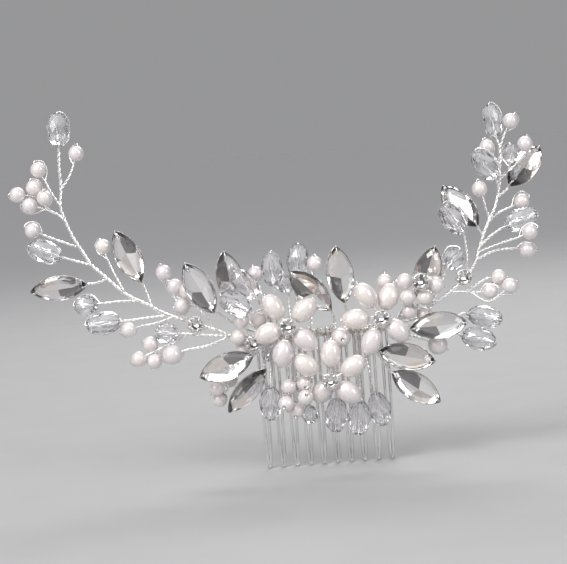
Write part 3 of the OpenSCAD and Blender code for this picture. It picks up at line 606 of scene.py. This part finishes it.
def lay(place):
    """Axes and centre of a navette's place: X along its length and Z towards the face."""
    centre, turn, roll, pitch = place
    rotation = (
        Matrix.Rotation(math.radians(-turn), 3, "Y")
        @ Matrix.Rotation(math.radians(90), 3, "X")
        @ Matrix.Rotation(math.radians(-pitch), 3, "Y")
        @ Matrix.Rotation(math.radians(roll), 3, "X")
    )
    return np.array(rotation), np.array(centre, float)


FLAT_ANGLE = math.radians(1.0)
BACK_SLOPE = -0.05


def cut_stone(shell, points, axes, centre, back_reflection_tone):
    """The closed convex solid around a stone's corners: clear crown facets over a foiled back, whose facets
    get painted reflection tones.
    """
    made = bmesh.new()
    for point in points:
        made.verts.new(point)
    bmesh.ops.convex_hull(made, input=made.verts)
    bmesh.ops.dissolve_limit(made, angle_limit=FLAT_ANGLE, verts=made.verts, edges=made.edges)
    bmesh.ops.delete(made, geom=[v for v in made.verts if not v.link_faces], context="VERTS")
    bmesh.ops.recalc_face_normals(made, faces=made.faces)
    made.verts.index_update()
    corners = np.array([v.co[:] for v in made.verts])
    faces, materials, tones = [], [], []
    for face in made.faces:
        faces.append([v.index for v in face.verts])
        back = face.normal.z < BACK_SLOPE
        materials.append(1 if back else 0)
        middle = face.calc_center_median()
        # Back facets take painted reflection tones; crown facets take a random glass tint.
        tones.append(back_reflection_tone(middle) if back else float(rng.uniform(0, 1)))
    made.free()
    shell.add(corners @ axes.T + centre, faces, materials, False, tones)


STONE_MARGIN = 0.4
GIRDLE_HEIGHT = 1.2
GIRDLE_EDGE = 0.25
# Painted reflections of the four main back facets: white, peach, grey and charcoal on the foil's ramp.
QUARTER_REFLECTION_TONES = np.array([0.12, 0.31, 0.6, 0.84])
TONE_SPREAD = 0.07
RIM_START = 0.6


def add_navette(shell, place):
    """A stone with a wide table, a narrow faceted rim and four main back facets that meet near its middle,
    each back facet with a painted reflection tone.
    """
    axes, centre = lay(place)
    length, width = NAVETTE_LENGTH + STONE_MARGIN, NAVETTE_WIDTH + STONE_MARGIN
    girdle = outline(length, width, GIRDLE_HEIGHT, 9)
    crown = outline(length, width, 0, 18)[1::2] * [0.88, 0.83, 0] + [0, 0, 1.95]
    table = outline(length * 0.7, width * 0.57, 2.5, 7)
    under = outline(length, width, 0, 14)[1::2] * [0.93, 0.92, 0] + [0, 0, 0.76]
    ribs = outline(length, width, 0, 8)[[0, 4, 8, 12]] * [0.62, 0.58, 0] + [0, 0, 0.5]
    apex = (rng.uniform(-1.2, 1.2), rng.uniform(-0.3, 0.3), 0.3)
    quarter_reflection_tones = QUARTER_REFLECTION_TONES[rng.permutation(4)]

    def back_reflection_tone(spot):
        # Rim facets get random painted reflection tones; each of the four main facets gets one painted
        # reflection, a little varied.
        if (2 * spot.x / length) ** 2 + (2 * spot.y / width) ** 2 > RIM_START:
            return float(rng.uniform(0, 1))
        quarter = (spot.x - apex[0] > 0) * 2 + (spot.y - apex[1] > 0)
        return float(np.clip(quarter_reflection_tones[quarter] + rng.uniform(-TONE_SPREAD, TONE_SPREAD), 0, 1))

    points = np.vstack([girdle, girdle - [0, 0, GIRDLE_EDGE], crown, table, under, ribs, apex])
    cut_stone(shell, points, axes, centre, back_reflection_tone)


# Rings of a setting: what each adds to the stone's length and width, and its height.
SETTING_RINGS = [
    (-1.0, -0.9, 0.05), (0.1, 0.1, 0.45), (0.42, 0.42, 0.86), (0.4, 0.4, 0.96),
    (-0.5, -0.4, 0.9), (-1.6, -1.2, 0.4), (-2, -1.5, 0.1),
]
SETTING_SIDES = 18
STITCH_WIRE = 0.34
HOLE_INSET = 1.25
HOLE_RADIUS = 0.27
HOLE_HEIGHT = 2.16
RIM_WIRE = 0.16
RIM_SHARE = 0.97
FINE_STEP = 0.16


def add_setting(shell, place):
    """The thin open frame behind a sewn stone, with a wire stitched through the stone's hole at each tip."""
    axes, centre = lay(place)
    rings = [
        outline(NAVETTE_LENGTH + longer, NAVETTE_WIDTH + wider, height, SETTING_SIDES)
        for longer, wider, height in SETTING_RINGS
    ]
    faces = [face[::-1] for face in ring_faces(len(rings), 2 * SETTING_SIDES, closed=True)]
    shell.add(np.vstack(rings) @ axes.T + centre, faces)
    tip = NAVETTE_LENGTH / 2
    for side in (-1, 1):
        hole = side * (tip - HOLE_INSET)
        lean = rng.uniform(-0.35, 0.35)
        stitch = [
            (hole, 0, 0.25), (side * (tip - 0.5), 0.1 * lean, 0.2), (side * (tip + 0.1), lean * 0.4, 0.8),
            (side * (tip - 0.2), lean * 0.5, 1.55), (side * (tip - 0.75), lean * 0.3, 1.98), (hole, 0, 2.12),
        ]
        tube(shell, smooth_route(stitch, FINE_STEP) @ axes.T + centre, STITCH_WIRE, 7)
        rim = [
            (hole + HOLE_RADIUS * math.cos(a), HOLE_RADIUS * math.sin(a), HOLE_HEIGHT)
            for a in np.linspace(0, RIM_SHARE * TURN, 12)
        ]
        tube(shell, np.array(rim) @ axes.T + centre, RIM_WIRE, 6)


# Rings of a brilliant: radius as a share of the stone's, height, corners, and turn in steps between corners.
BRILLIANT_RINGS = [
    (1, 1.42, 16, 0), (1, 1.3, 16, 0), (0.82, 1.92, 8, 0.5), (0.56, 2.3, 8, 0), (0.04, 0.56, 8, 0)
]
BRILLIANT_GAP = 0.03
# Top of the rhinestones' random back tones, reaching the charcoal painted dark reflection.
DARKEST_BACK = 0.8


def add_rhinestone(shell, point):
    """A small brilliant: eight-fold crown and pointed back, its back facets in random painted reflection
    tones.
    """
    radius = CHATON / 2 - BRILLIANT_GAP
    corners = np.vstack([ring(share * radius, *rest) for share, *rest in BRILLIANT_RINGS])

    def back_reflection_tone(_):
        return float(rng.uniform(0, DARKEST_BACK))

    cut_stone(shell, corners, basis((0, -1, 0)), np.array(point, float), back_reflection_tone)


CUP_WALL = 0.4
CLAWS = 8
CLAW_TURN = 0.25
CLAW_WIRE = 0.46


def add_cup(shell, point):
    """A round claw cup around a rhinestone."""
    axes, centre = basis((0, -1, 0)), np.array(point, float)
    inner, outer = CHATON / 2, CHATON / 2 + CUP_WALL
    profile = [
        (0.25, 0), (outer * 0.7, 0.02), (outer * 0.93, 0.35), (outer, 0.9), (outer, 1.2),
        (outer - 0.12, 1.36), (inner + 0.05, 1.34), (inner, 1.1), (inner * 0.6, 0.55), (0.25, 0.5),
    ]
    lathe(shell, profile, centre, axes)
    for k in range(CLAWS):
        a = (k + CLAW_TURN) * TURN / CLAWS
        out = np.array([math.cos(a), math.sin(a), 0])
        claw = np.array([
            out * (outer - 0.06) + [0, 0, 0.5], out * (outer + 0.02) + [0, 0, 1.15],
            out * (outer - 0.22) + [0, 0, 1.6], out * (inner - 0.32) + [0, 0, 1.82],
        ])
        tube(shell, smooth_route(claw, FINE_STEP) @ axes.T + centre, CLAW_WIRE, 6)


# ---- Wires ----


THREAD_GAP = 0.26


def add_thread(shell, piece, length, width, back=None):
    """The wire of a threaded piece: through its hole, over its far end and down its side to the neck."""
    centre, neck = ends(piece)
    axis = unit(centre - neck)
    if back is None:
        side = unit(np.cross(axis, [0.0, 1.0, 0.0])) * (1 if rng.uniform() > 0.5 else -1)
        side = unit(side + np.array([0, 1, 0]) * rng.uniform(0.1, 0.9))
    else:
        side = unit(back - axis * axis.dot(back))
    half, wide = length / 2, width / 2
    bow = rng.uniform(0.2, 0.5)
    through = [neck, centre - axis * half * 0.9, centre + axis * half]
    over = [
        centre + axis * (half + 0.42) + side * 0.3,
        centre + axis * (half + 0.16) + side * (0.5 + wide * 0.3),
    ]
    down = [
        centre + axis * half * 0.62 + side * (wide * 0.88 + bow),
        centre + side * (wide + THREAD_GAP),
        centre - axis * half * 0.62 + side * (wide * 0.86 + THREAD_GAP),
        neck + (centre - neck) * 0.1 + side * 0.16,
    ]
    tube(shell, smooth_route(through + over + down), THREAD_WIRE)


WRAP_WIRE = 0.3
WRAP_STEPS = 14


def add_wrap(shell, start, end, radius, turns, diameter=WRAP_WIRE):
    """A few turns of fine wire around a post, a little uneven."""
    start, end = ends([start, end])
    axes = basis(end - start)
    steps = int(turns * WRAP_STEPS)
    route = []
    for k in range(steps + 1):
        a = TURN * turns * k / steps
        bulge = radius * (1 + 0.12 * math.sin(1.7 * a))
        route.append(start + (end - start) * k / steps + axes @ [bulge * math.cos(a), bulge * math.sin(a), 0])
    tube(shell, np.array(route), diameter, 6)

# ---- Materials ----


def new_material(name):
    """A material with one principled shader, and what is needed to add to it."""
    material = bpy.data.materials.new(name)
    material.use_nodes = True
    nodes = material.node_tree.nodes
    nodes.clear()
    out = nodes.new("ShaderNodeOutputMaterial")
    shader = nodes.new("ShaderNodeBsdfPrincipled")
    material.node_tree.links.new(shader.outputs[0], out.inputs["Surface"])
    return material, nodes, material.node_tree.links, shader


def fix(node, values):
    """Sets a node's inputs to fixed values."""
    for name, value in values.items():
        node.inputs[name].default_value = value


def noise(nodes, links, scale, detail=3.0, roughness=0.5):
    """Noise in the object's own frame; the scale counts features in a metre."""
    place = nodes.new("ShaderNodeTexCoord")
    texture = nodes.new("ShaderNodeTexNoise")
    fix(texture, {"Scale": scale, "Detail": detail, "Roughness": roughness})
    links.new(place.outputs["Object"], texture.inputs["Vector"])
    return texture.outputs["Fac"]


def ramp(nodes, links, value, stops, constant=False):
    """A colour for each value, from stops of (value, colour)."""
    made = nodes.new("ShaderNodeValToRGB")
    if constant:
        made.color_ramp.interpolation = "CONSTANT"
    elements = made.color_ramp.elements
    while len(elements) < len(stops):
        elements.new(0.5)
    for element, (place, colour) in zip(elements, stops):
        element.position = place
        element.color = (*colour, 1)
    links.new(value, made.inputs["Fac"])
    return made.outputs["Color"]


def span(nodes, links, value, low, high, start=0.3, end=0.7):
    """Carries the value from start..end over to low..high."""
    made = nodes.new("ShaderNodeMapRange")
    fix(made, {"From Min": start, "From Max": end, "To Min": low, "To Max": high})
    links.new(value, made.inputs["Value"])
    return made.outputs["Result"]


def math_node(nodes, links, operation, *values):
    """One math node; each value is a number or a socket."""
    made = nodes.new("ShaderNodeMath")
    made.operation = operation
    for socket, value in zip(made.inputs, values):
        if isinstance(value, (int, float)):
            socket.default_value = value
        else:
            links.new(value, socket)
    return made.outputs[0]


def bump(nodes, links, shader, value, depth, strength):
    """Small relief from the value; the depth is in millimetres."""
    made = nodes.new("ShaderNodeBump")
    fix(made, {"Distance": depth * MM, "Strength": strength})
    links.new(value, made.inputs["Height"])
    links.new(made.outputs["Normal"], shader.inputs["Normal"])


def silver(name, light, dark, rough, fine):
    """Bright plated wire: patches of tone, uneven polish and small dents."""
    material, nodes, links, shader = new_material(name)
    tone = noise(nodes, links, 260, 4)
    polish = noise(nodes, links, 900, 3)
    links.new(ramp(nodes, links, tone, [(0.32, dark), (0.62, light)]), shader.inputs["Base Color"])
    links.new(span(nodes, links, polish, rough * 0.75, rough * 1.45), shader.inputs["Roughness"])
    fix(shader, {"Metallic": 1.0})
    bump(nodes, links, shader, noise(nodes, links, fine, 2), 0.02, 0.35)
    return material


ISLAND_SHARE = 0.55
PATCH_SHARE = 0.5


def pearl(name, stops, rough):
    """Nacre: cream, pink and lilac patches, each pearl its own tint, under a soft clear coat."""
    material, nodes, links, shader = new_material(name)
    patches = noise(nodes, links, 320, 2, 0.4)
    polish = noise(nodes, links, 700, 3)
    island = nodes.new("ShaderNodeNewGeometry").outputs["Random Per Island"]
    patch_part = math_node(nodes, links, "MULTIPLY", patches, PATCH_SHARE)
    tint = math_node(nodes, links, "MULTIPLY_ADD", island, ISLAND_SHARE, patch_part)
    links.new(ramp(nodes, links, tint, stops), shader.inputs["Base Color"])
    links.new(span(nodes, links, polish, rough * 0.85, rough * 1.25), shader.inputs["Roughness"])
    fix(shader, {
        "Metallic": 0.22, "Specular IOR Level": 0.7, "Coat Weight": 0.7, "Coat Roughness": 0.16,
        "Sheen Weight": 0.12, "Sheen Roughness": 0.35, "Subsurface Weight": 0.15,
        "Subsurface Radius": (1.0, 0.85, 0.75), "Subsurface Scale": 0.0007,
    })
    bump(nodes, links, shader, noise(nodes, links, 900, 2), 0.01, 0.12)
    return material


def glass(name, stops, ior, rough, clear):
    """Clear cut glass, each facet polished a little differently."""
    material, nodes, links, shader = new_material(name)
    tone = nodes.new("ShaderNodeAttribute")
    tone.attribute_name = "tone"
    links.new(ramp(nodes, links, tone.outputs["Fac"], stops), shader.inputs["Base Color"])
    polish = noise(nodes, links, 600, 2)
    links.new(span(nodes, links, polish, rough * 0.5, rough * 2), shader.inputs["Roughness"])
    fix(shader, {"Transmission Weight": clear, "IOR": ior, "Coat Weight": 0.3, "Coat Roughness": 0.02})
    bump(nodes, links, shader, noise(nodes, links, 420, 1), 0.01, 0.12)
    return material


def foil(name, stops, rough):
    """The mirrored back of a stone, its facets in separate tones that are painted light and dark reflections.
    """
    material, nodes, links, shader = new_material(name)
    tone = nodes.new("ShaderNodeAttribute")
    tone.attribute_name = "tone"
    # Each facet's tone picks one flat painted reflection colour.
    links.new(ramp(nodes, links, tone.outputs["Fac"], stops, constant=True), shader.inputs["Base Color"])
    polish = noise(nodes, links, 800, 2)
    links.new(span(nodes, links, polish, rough * 0.6, rough * 1.6), shader.inputs["Roughness"])
    fix(shader, {"Metallic": 1.0})
    bump(nodes, links, shader, noise(nodes, links, 500, 2), 0.015, 0.15)
    return material


TWISTED = silver("twisted_silver_wire", (0.99, 0.98, 0.965), (0.9, 0.885, 0.87), 0.22, 2600)
COMB_STEEL = silver("comb_wire_silver", (0.9, 0.895, 0.89), (0.74, 0.73, 0.72), 0.13, 700)
BINDING = silver("binding_wire_silver", (0.95, 0.91, 0.86), (0.8, 0.75, 0.7), 0.27, 3000)
BEZEL = silver("setting_silver", (0.93, 0.92, 0.91), (0.76, 0.74, 0.73), 0.18, 1800)
ROUND_TINTS = [
    (0.15, (0.84, 0.77, 0.745)), (0.4, (0.86, 0.8, 0.78)),
    (0.62, (0.83, 0.765, 0.785)), (0.85, (0.84, 0.795, 0.775)),
]
RICE_TINTS = [
    (0.15, (0.83, 0.76, 0.73)), (0.4, (0.86, 0.8, 0.77)),
    (0.62, (0.82, 0.755, 0.77)), (0.85, (0.84, 0.79, 0.77)),
]
BEAD_TINTS = [(0.0, (0.98, 0.96, 1.0)), (0.5, (0.99, 0.99, 1.0)), (1.0, (0.96, 0.95, 0.98))]
STONE_TINTS = [(0.0, (1.0, 0.985, 0.97)), (0.5, (0.99, 0.99, 0.99)), (1.0, (0.97, 0.96, 0.97))]
# Colours of the foil's facets, picked by tone, are painted reflections: white, peach and grey stand in for
# bright reflections, charcoal for a dark reflection.
FOIL_PAINTED_REFLECTIONS = [
    (0.0, (1.0, 0.995, 0.985)), (0.25, (1.0, 0.93, 0.885)), (0.4, (0.97, 0.95, 0.94)),
    (0.52, (0.87, 0.85, 0.85)), (0.75, (0.28, 0.27, 0.27)), (0.91, (0.98, 0.98, 0.99)),
]
PEARL_MAT = pearl("round_pearl", ROUND_TINTS, 0.3)
RICE_MAT = pearl("rice_pearl_nacre", RICE_TINTS, 0.26)
BEAD_GLASS = glass("bead_glass", BEAD_TINTS, 1.52, 0.012, 0.95)
STONE = [glass("stone_glass", STONE_TINTS, 1.55, 0.008, 1.0), foil("stone_foil_painted_reflections", FOIL_PAINTED_REFLECTIONS, 0.08)]

# ---- The comb ----


def leg(i, side):
    """A tooth leg's points from the spine to its tip."""
    x = (i - (TEETH - 1) / 2) * TOOTH_PITCH
    return [
        (x + side * LEG_GAP / 2, 0, 0),
        (x + side * LEG_GAP * 0.48, 0, -TOOTH_LENGTH * 0.35),
        (x + side * LEG_GAP * 0.42, TOOTH_CURVE * 0.4, -TOOTH_LENGTH * 0.7),
        (x + side * COMB_WIRE * 0.4, TOOTH_CURVE, -TOOTH_LENGTH + COMB_WIRE / 2),
    ]


TOOTH_STEP = 0.8
LOOP_RISE = 0.7


def comb_teeth():
    """One wire bent down and up through every tooth, from the first leg to the last."""
    shell = Shell()
    route = []
    for i in range(TEETH):
        down = smooth_route(leg(i, -1), TOOTH_STEP)
        up = smooth_route(leg(i, 1), TOOTH_STEP)[::-1]
        tip = (down[-1] + up[0]) / 2
        bend = [down[-1], tip + [0, 0.02, -0.06], up[0]]
        route += list(down[:-1]) + bend + list(up[1:])
        if i < TEETH - 1:
            start, end = np.array(leg(i, 1)[0]), np.array(leg(i + 1, -1)[0])
            for a in np.linspace(0, math.pi, 9)[1:-1]:
                across, rise = -(end - start)[0] / 2 * math.cos(a), LOOP_RISE * math.sin(a)
                route.append((start + end) / 2 + [across, 0, rise])
    tube(shell, np.array(route), COMB_WIRE, 12)
    shell.piece("comb_teeth_wire", "comb", "comb_wire", [COMB_STEEL], ["comb_teeth"])


ROD_WIRE = 1.0
ROD_PITCH = 4.2
ROD_INSET = 0.45


def comb_rod():
    """The straight two-strand wire that the sprays are bound to."""
    shell = Shell()
    low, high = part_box("spine_rod")
    y, z = (low.y + high.y) / 2 / MM, (low.z + high.z) / 2 / MM
    x = high.x / MM - ROD_INSET
    twisted(shell, [(-x, y, z), (0, y, z + 0.02), (x, y, z)], ROD_WIRE, 2, ROD_PITCH, 10)
    shell.piece("spine_rod_wire", "comb", "comb_wire", [COMB_STEEL], ["spine_rod"])


COIL_STEPS = 22
COIL_WIRE = 0.34
COIL_INSET = 0.19
COIL_OFFSET = 0.37
LOOSE_WIRE = 0.3
LOOSE_SHARE = 0.55


def spine_binding():
    """Fine wire wound over the rod and the sprays' ends: two even coils, and a loose one over them."""
    shell = Shell()
    low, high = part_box("spine_binding")
    middle = (low + high) / 2 / MM
    reach = (high - low) / 2 / MM
    turns = (high.x - low.x) / MM / BINDING_PITCH
    steps = int(turns * COIL_STEPS)
    for strand in range(2):
        a = np.arange(steps + 1) * TURN * turns / steps
        x = low.x / MM + 0.2 + (2 * reach.x - 0.75) * np.arange(steps + 1) / steps + strand * COIL_OFFSET
        slow, quick = np.sin(a * 0.23 + strand * 2), np.sin(a * 1.31 + strand)
        wander = 1 - 0.06 * (1 + slow) / 2 - 0.05 * (1 + quick) / 2
        y = middle.y + (reach.y - COIL_INSET) * wander * np.cos(a)
        z = middle.z + (reach.z - COIL_INSET) * wander * np.sin(a)
        tube(shell, np.column_stack([x, y, z]), COIL_WIRE, 7)
    a = np.linspace(0, TURN * turns * LOOSE_SHARE, steps)
    loose = 1.12 + 0.14 * np.sin(a * 0.37) + 0.12 * np.sin(a * 1.63 + 1)
    x = middle.x + (reach.x - 0.8) * np.linspace(-1, 1, steps) + 0.5 * np.sin(a * 0.29)
    y = middle.y + reach.y * loose * np.cos(a)
    z = middle.z + reach.z * loose * np.sin(a)
    tube(shell, np.column_stack([x, y, z]), LOOSE_WIRE, 7)
    shell.piece("spine_binding_coils", "comb", "binding_wire", [BINDING], ["spine_binding"])


# ---- Sprays ----


def hub_wires(shell, hub, centres, length, width):
    """The wires of a flower: one through each petal and back behind it, and a bound post to the cup."""
    for centre in centres:
        add_thread(shell, [centre, hub], length, width, back=np.array([0.15, 1.0, 0.1]))
    hub = np.array(hub, float)
    twisted(shell, [hub, hub - [0, CUP_LIFT / 2, 0], hub - [0, CUP_LIFT + 0.2, 0]], TWIG_WIRE)
    add_wrap(shell, hub + [0, 1.5, 0], hub - [0, 0.9, 0], 0.75, 5)


WRAP_LENGTH = 2.6
WRAP_MOST = 0.7
STEM_PITCH = 4.4


def center_stems():
    """The centre spray's wires: twigs wrapped at their roots, threads through beads and pearls, and hubs."""
    shell = Shell()
    for points in CENTER_TWIGS:
        twisted(shell, points, TWIG_WIRE)
        root, bend = ends(points)
        reach = min(WRAP_LENGTH / np.linalg.norm(bend - root), WRAP_MOST)
        add_wrap(shell, root, root + (bend - root) * reach, rng.uniform(0.46, 0.56), rng.uniform(3, 5))
    for bead in CENTER_BEADS.values():
        add_thread(shell, bead, bead[2], bead[3], back=np.array([rng.uniform(-1, 1), 1, rng.uniform(-1, 1)]))
    for piece in UPPER_PEARLS + SIDE_PEARLS + LOWER_PEARLS:
        add_thread(shell, piece, PEARL, PEARL, back=np.array([rng.uniform(-1, 1), 0.8, rng.uniform(-1, 1)]))
    for piece in SIDE_BIG_PEARLS:
        add_thread(shell, piece, BIG_PEARL, BIG_PEARL, back=np.array([0.2, 1, -0.4]))
    for hub, petals in FLOWERS.values():
        hub_wires(shell, hub, petals, PETAL_LENGTH, PETAL_WIDTH)
    for hub, pearls in BLOSSOMS.values():
        hub_wires(shell, hub, pearls, PEARL, PEARL)
    shell.piece("center_stems_wire", "comb", "twisted_wire", [TWISTED], ["center_stems"])


def arm_stem(name, body, node, stem, twigs, pearls, big_pearls, beads):
    """An arm's wires: a stem wrapped at its root, twigs, and threads through beads and pearls."""
    shell = Shell()
    twisted(shell, stem, STEM_WIRE, 3, STEM_PITCH)
    for points in twigs:
        twisted(shell, points, TWIG_WIRE)
    for piece in pearls:
        add_thread(shell, piece, PEARL, PEARL)
    for piece in big_pearls:
        add_thread(shell, piece, BIG_PEARL, BIG_PEARL)
    for bead in beads.values():
        add_thread(shell, bead, bead[2], bead[3])
    start, bend = ends(stem)
    ahead = unit(bend - start)
    add_wrap(shell, start - ahead * 0.35, start + ahead * 1.5, 0.52, 5, 0.28)
    shell.piece(name, body, "twisted_wire", [TWISTED], [node])


def build(name, body, slot, materials, node, add, items):
    """One visible piece for a node, with one solid or group of solids from each item."""
    shell = Shell()
    for item in items:
        add(shell, item)
    shell.piece(name, body, slot, materials, [node])


def pearls_piece(name, body, node, groups):
    items = [(piece, diameter) for pieces, diameter in groups for piece in pieces]
    build(name, body, "pearl", [PEARL_MAT], node, add_pearl, items)


def stones_pieces(prefix, body, node, places):
    build(prefix + "_bezels", body, "setting", [BEZEL], node + "_settings", add_setting, places)
    build(prefix + "_stones", body, "navette_crystal", STONE, node + "_navettes", add_navette, places)


def cups_pieces(prefix, body, cups_node, stones_node, points):
    build(prefix + "_claws", body, "setting", [BEZEL], cups_node, add_cup, points)
    build(prefix + "_brilliants", body, "rhinestone", STONE, stones_node, add_rhinestone, points)


def arm(side, stones, stem, twigs, pearls, big_pearls, beads, settings, chaton):
    body = side + "_arm"
    arm_stem(body + "_wire", body, side + "_stem", stem, twigs, pearls, big_pearls, beads)
    pearls_piece(body + "_round_pearls", body, side + "_pearls", [(pearls, PEARL), (big_pearls, BIG_PEARL)])
    stones_pieces(body, body, stones, settings)
    cups_pieces(body, body, side + "_chaton_cup", side + "_chaton", [chaton])


comb_teeth()
comb_rod()
spine_binding()
center_stems()
for side, (hub, petals) in FLOWERS.items():
    items = [[centre, hub] for centre in petals]
    name, node = side + "_flower_rice_pearls", side + "_flower_petals"
    build(name, "comb", "rice_pearl", [RICE_MAT], node, add_petal, items)
for side, (hub, pearls) in BLOSSOMS.items():
    groups = [([[centre, hub] for centre in pearls], PEARL)]
    pearls_piece(side + "_blossom_round_pearls", "comb", side + "_blossom_pearls", groups)
pearls_piece("upper_round_pearls", "comb", "upper_pearls", [(UPPER_PEARLS, PEARL)])
pearls_piece("side_round_pearls", "comb", "side_pearls", [(SIDE_PEARLS, PEARL), (SIDE_BIG_PEARLS, BIG_PEARL)])
pearls_piece("lower_round_pearls", "comb", "lower_pearls", [(LOWER_PEARLS, PEARL)])
cups = [[x, y - CUP_LIFT, z] for (x, y, z), _ in [*FLOWERS.values(), *BLOSSOMS.values()]]
cups_pieces("flower", "comb", "flower_cups", "flower_rhinestones", cups)
for place, settings in COMB_SETTINGS.items():
    stones_pieces(place, "comb", place, settings)
arm(
    "left", "left", LEFT_STEM, LEFT_TWIGS, LEFT_PEARLS, LEFT_BIG_PEARLS, LEFT_BEADS,
    LEFT_SETTINGS, LEFT_CHATON,
)
arm(
    "right", "right_arm", RIGHT_STEM, RIGHT_TWIGS, RIGHT_PEARLS, [], RIGHT_BEADS,
    RIGHT_SETTINGS, RIGHT_CHATON,
)
for node, bead in {**LEFT_BEADS, **RIGHT_BEADS, **CENTER_BEADS}.items():
    build(node + "_glass", node, "bead_crystal", [BEAD_GLASS], node, add_bead, [bead])

# ---- Floor, light and camera ----


FLOOR_DARK = (0.435, 0.435, 0.442)
FLOOR_LIGHT = (0.45, 0.45, 0.457)
FLOOR_REACH = 6.0
FLOOR_GAP = 0.0001


def stage_floor():
    """A wide pale floor just under the teeth."""
    mesh = bpy.data.meshes.new("floor")
    z = CAD_BOX[0][2] - FLOOR_GAP
    corners = [(x * FLOOR_REACH, y * FLOOR_REACH, z) for x, y in ((-1, -1), (1, -1), (1, 1), (-1, 1))]
    mesh.from_pydata(corners, [], [(0, 1, 2, 3)])
    floor = linked("floor", mesh)
    material, nodes, links, shader = new_material("floor_paper")
    tone = noise(nodes, links, 60, 3)
    links.new(ramp(nodes, links, tone, [(0.3, FLOOR_DARK), (0.7, FLOOR_LIGHT)]), shader.inputs["Base Color"])
    fix(shader, {"Roughness": 0.7})
    bump(nodes, links, shader, noise(nodes, links, 1200, 3), 0.05, 0.3)
    mesh.materials.append(material)


def area_light(name, place, target, size, power, colour):
    light = bpy.data.lights.new(name, "AREA")
    light.shape = "RECTANGLE"
    light.size, light.size_y = size
    light.energy = power
    light.color = colour
    obj = linked(name, light)
    obj.location = place
    obj.rotation_euler = (Vector(target) - Vector(place)).to_track_quat("-Z", "Y").to_euler()


stage_floor()
area_light("key", (-0.34, -0.46, 0.5), (0, 0, 0), (0.3, 0.24), 2.5, (1.0, 0.98, 0.95))
area_light("fill", (0.85, -0.7, 0.42), (0, 0, 0), (0.24, 0.62), 2.5, (0.95, 0.97, 1.0))
area_light("strip", (-0.95, -0.85, 0.4), (0, 0, 0.01), (0.2, 0.6), 2.1, (1.0, 1.0, 1.0))
area_light("rim", (0.1, 0.45, 0.42), (0, 0, 0.01), (0.4, 0.12), 1.2, (1.0, 0.99, 0.98))

sun = bpy.data.lights.new("wide", "SUN")
sun.energy = 0.8
sun.angle = math.radians(50)
wide = linked("wide", sun)
wide.rotation_euler = (math.radians(32), math.radians(-12), 0)

# The studio around the floor: its colour goes by height, with a dark band for the stones to reflect, and its
# level falls at the sides and rises in front. HORIZON matches the floor's far edge, so that no line shows.
HORIZON = (0.495, 0.495, 0.505)
SKY = [
    (0.0, HORIZON), (0.08, HORIZON), (0.2, (0.7, 0.7, 0.71)), (0.36, (0.85, 0.85, 0.86)),
    (0.5, (0.24, 0.24, 0.25)), (0.66, (0.95, 0.95, 0.96)), (1.0, (0.85, 0.85, 0.87)),
]
SKY_STRENGTH = 0.62
world = bpy.data.worlds.new("studio")
bpy.context.scene.world = world
world.use_nodes = True
sky = world.node_tree.nodes
sky_links = world.node_tree.links
sky.clear()
world_out = sky.new("ShaderNodeOutputWorld")
background = sky.new("ShaderNodeBackground")
direction = sky.new("ShaderNodeTexCoord")
split = sky.new("ShaderNodeSeparateXYZ")
sky_links.new(direction.outputs["Generated"], split.inputs[0])
dome = ramp(sky, sky_links, split.outputs["Z"], SKY)
aside = math_node(sky, sky_links, "ABSOLUTE", split.outputs["X"])
flags = span(sky, sky_links, aside, 1.0, 0.5, 0.35, 0.8)
front = span(sky, sky_links, split.outputs["Y"], 1.7, 1.0, -0.95, -0.5)
level = math_node(sky, sky_links, "MULTIPLY", flags, front)
shaded = sky.new("ShaderNodeVectorMath")
shaded.operation = "SCALE"
sky_links.new(dome, shaded.inputs[0])
sky_links.new(level, shaded.inputs["Scale"])
sky_links.new(shaded.outputs[0], background.inputs["Color"])
background.inputs["Strength"].default_value = SKY_STRENGTH
sky_links.new(background.outputs[0], world_out.inputs["Surface"])

CAMERA_TARGET = Vector((-8.96, -4.0, 14.74)) * MM
CAMERA_ELEVATION = math.radians(5)
CAMERA_DISTANCE = 0.4544
CAMERA_ROLL = math.radians(-4.55)
CAMERA_LENS = 110
lens = bpy.data.cameras.new("camera")
lens.lens = CAMERA_LENS
camera = linked("camera", lens)
offset = Vector((0, -math.cos(CAMERA_ELEVATION), math.sin(CAMERA_ELEVATION))) * CAMERA_DISTANCE
camera.location = CAMERA_TARGET + offset
look = (-offset).to_track_quat("-Z", "Y").to_matrix() @ Matrix.Rotation(CAMERA_ROLL, 3, "Z")
camera.rotation_euler = look.to_euler()
bpy.context.scene.camera = camera
bpy.context.scene.view_settings.view_transform = "Standard"
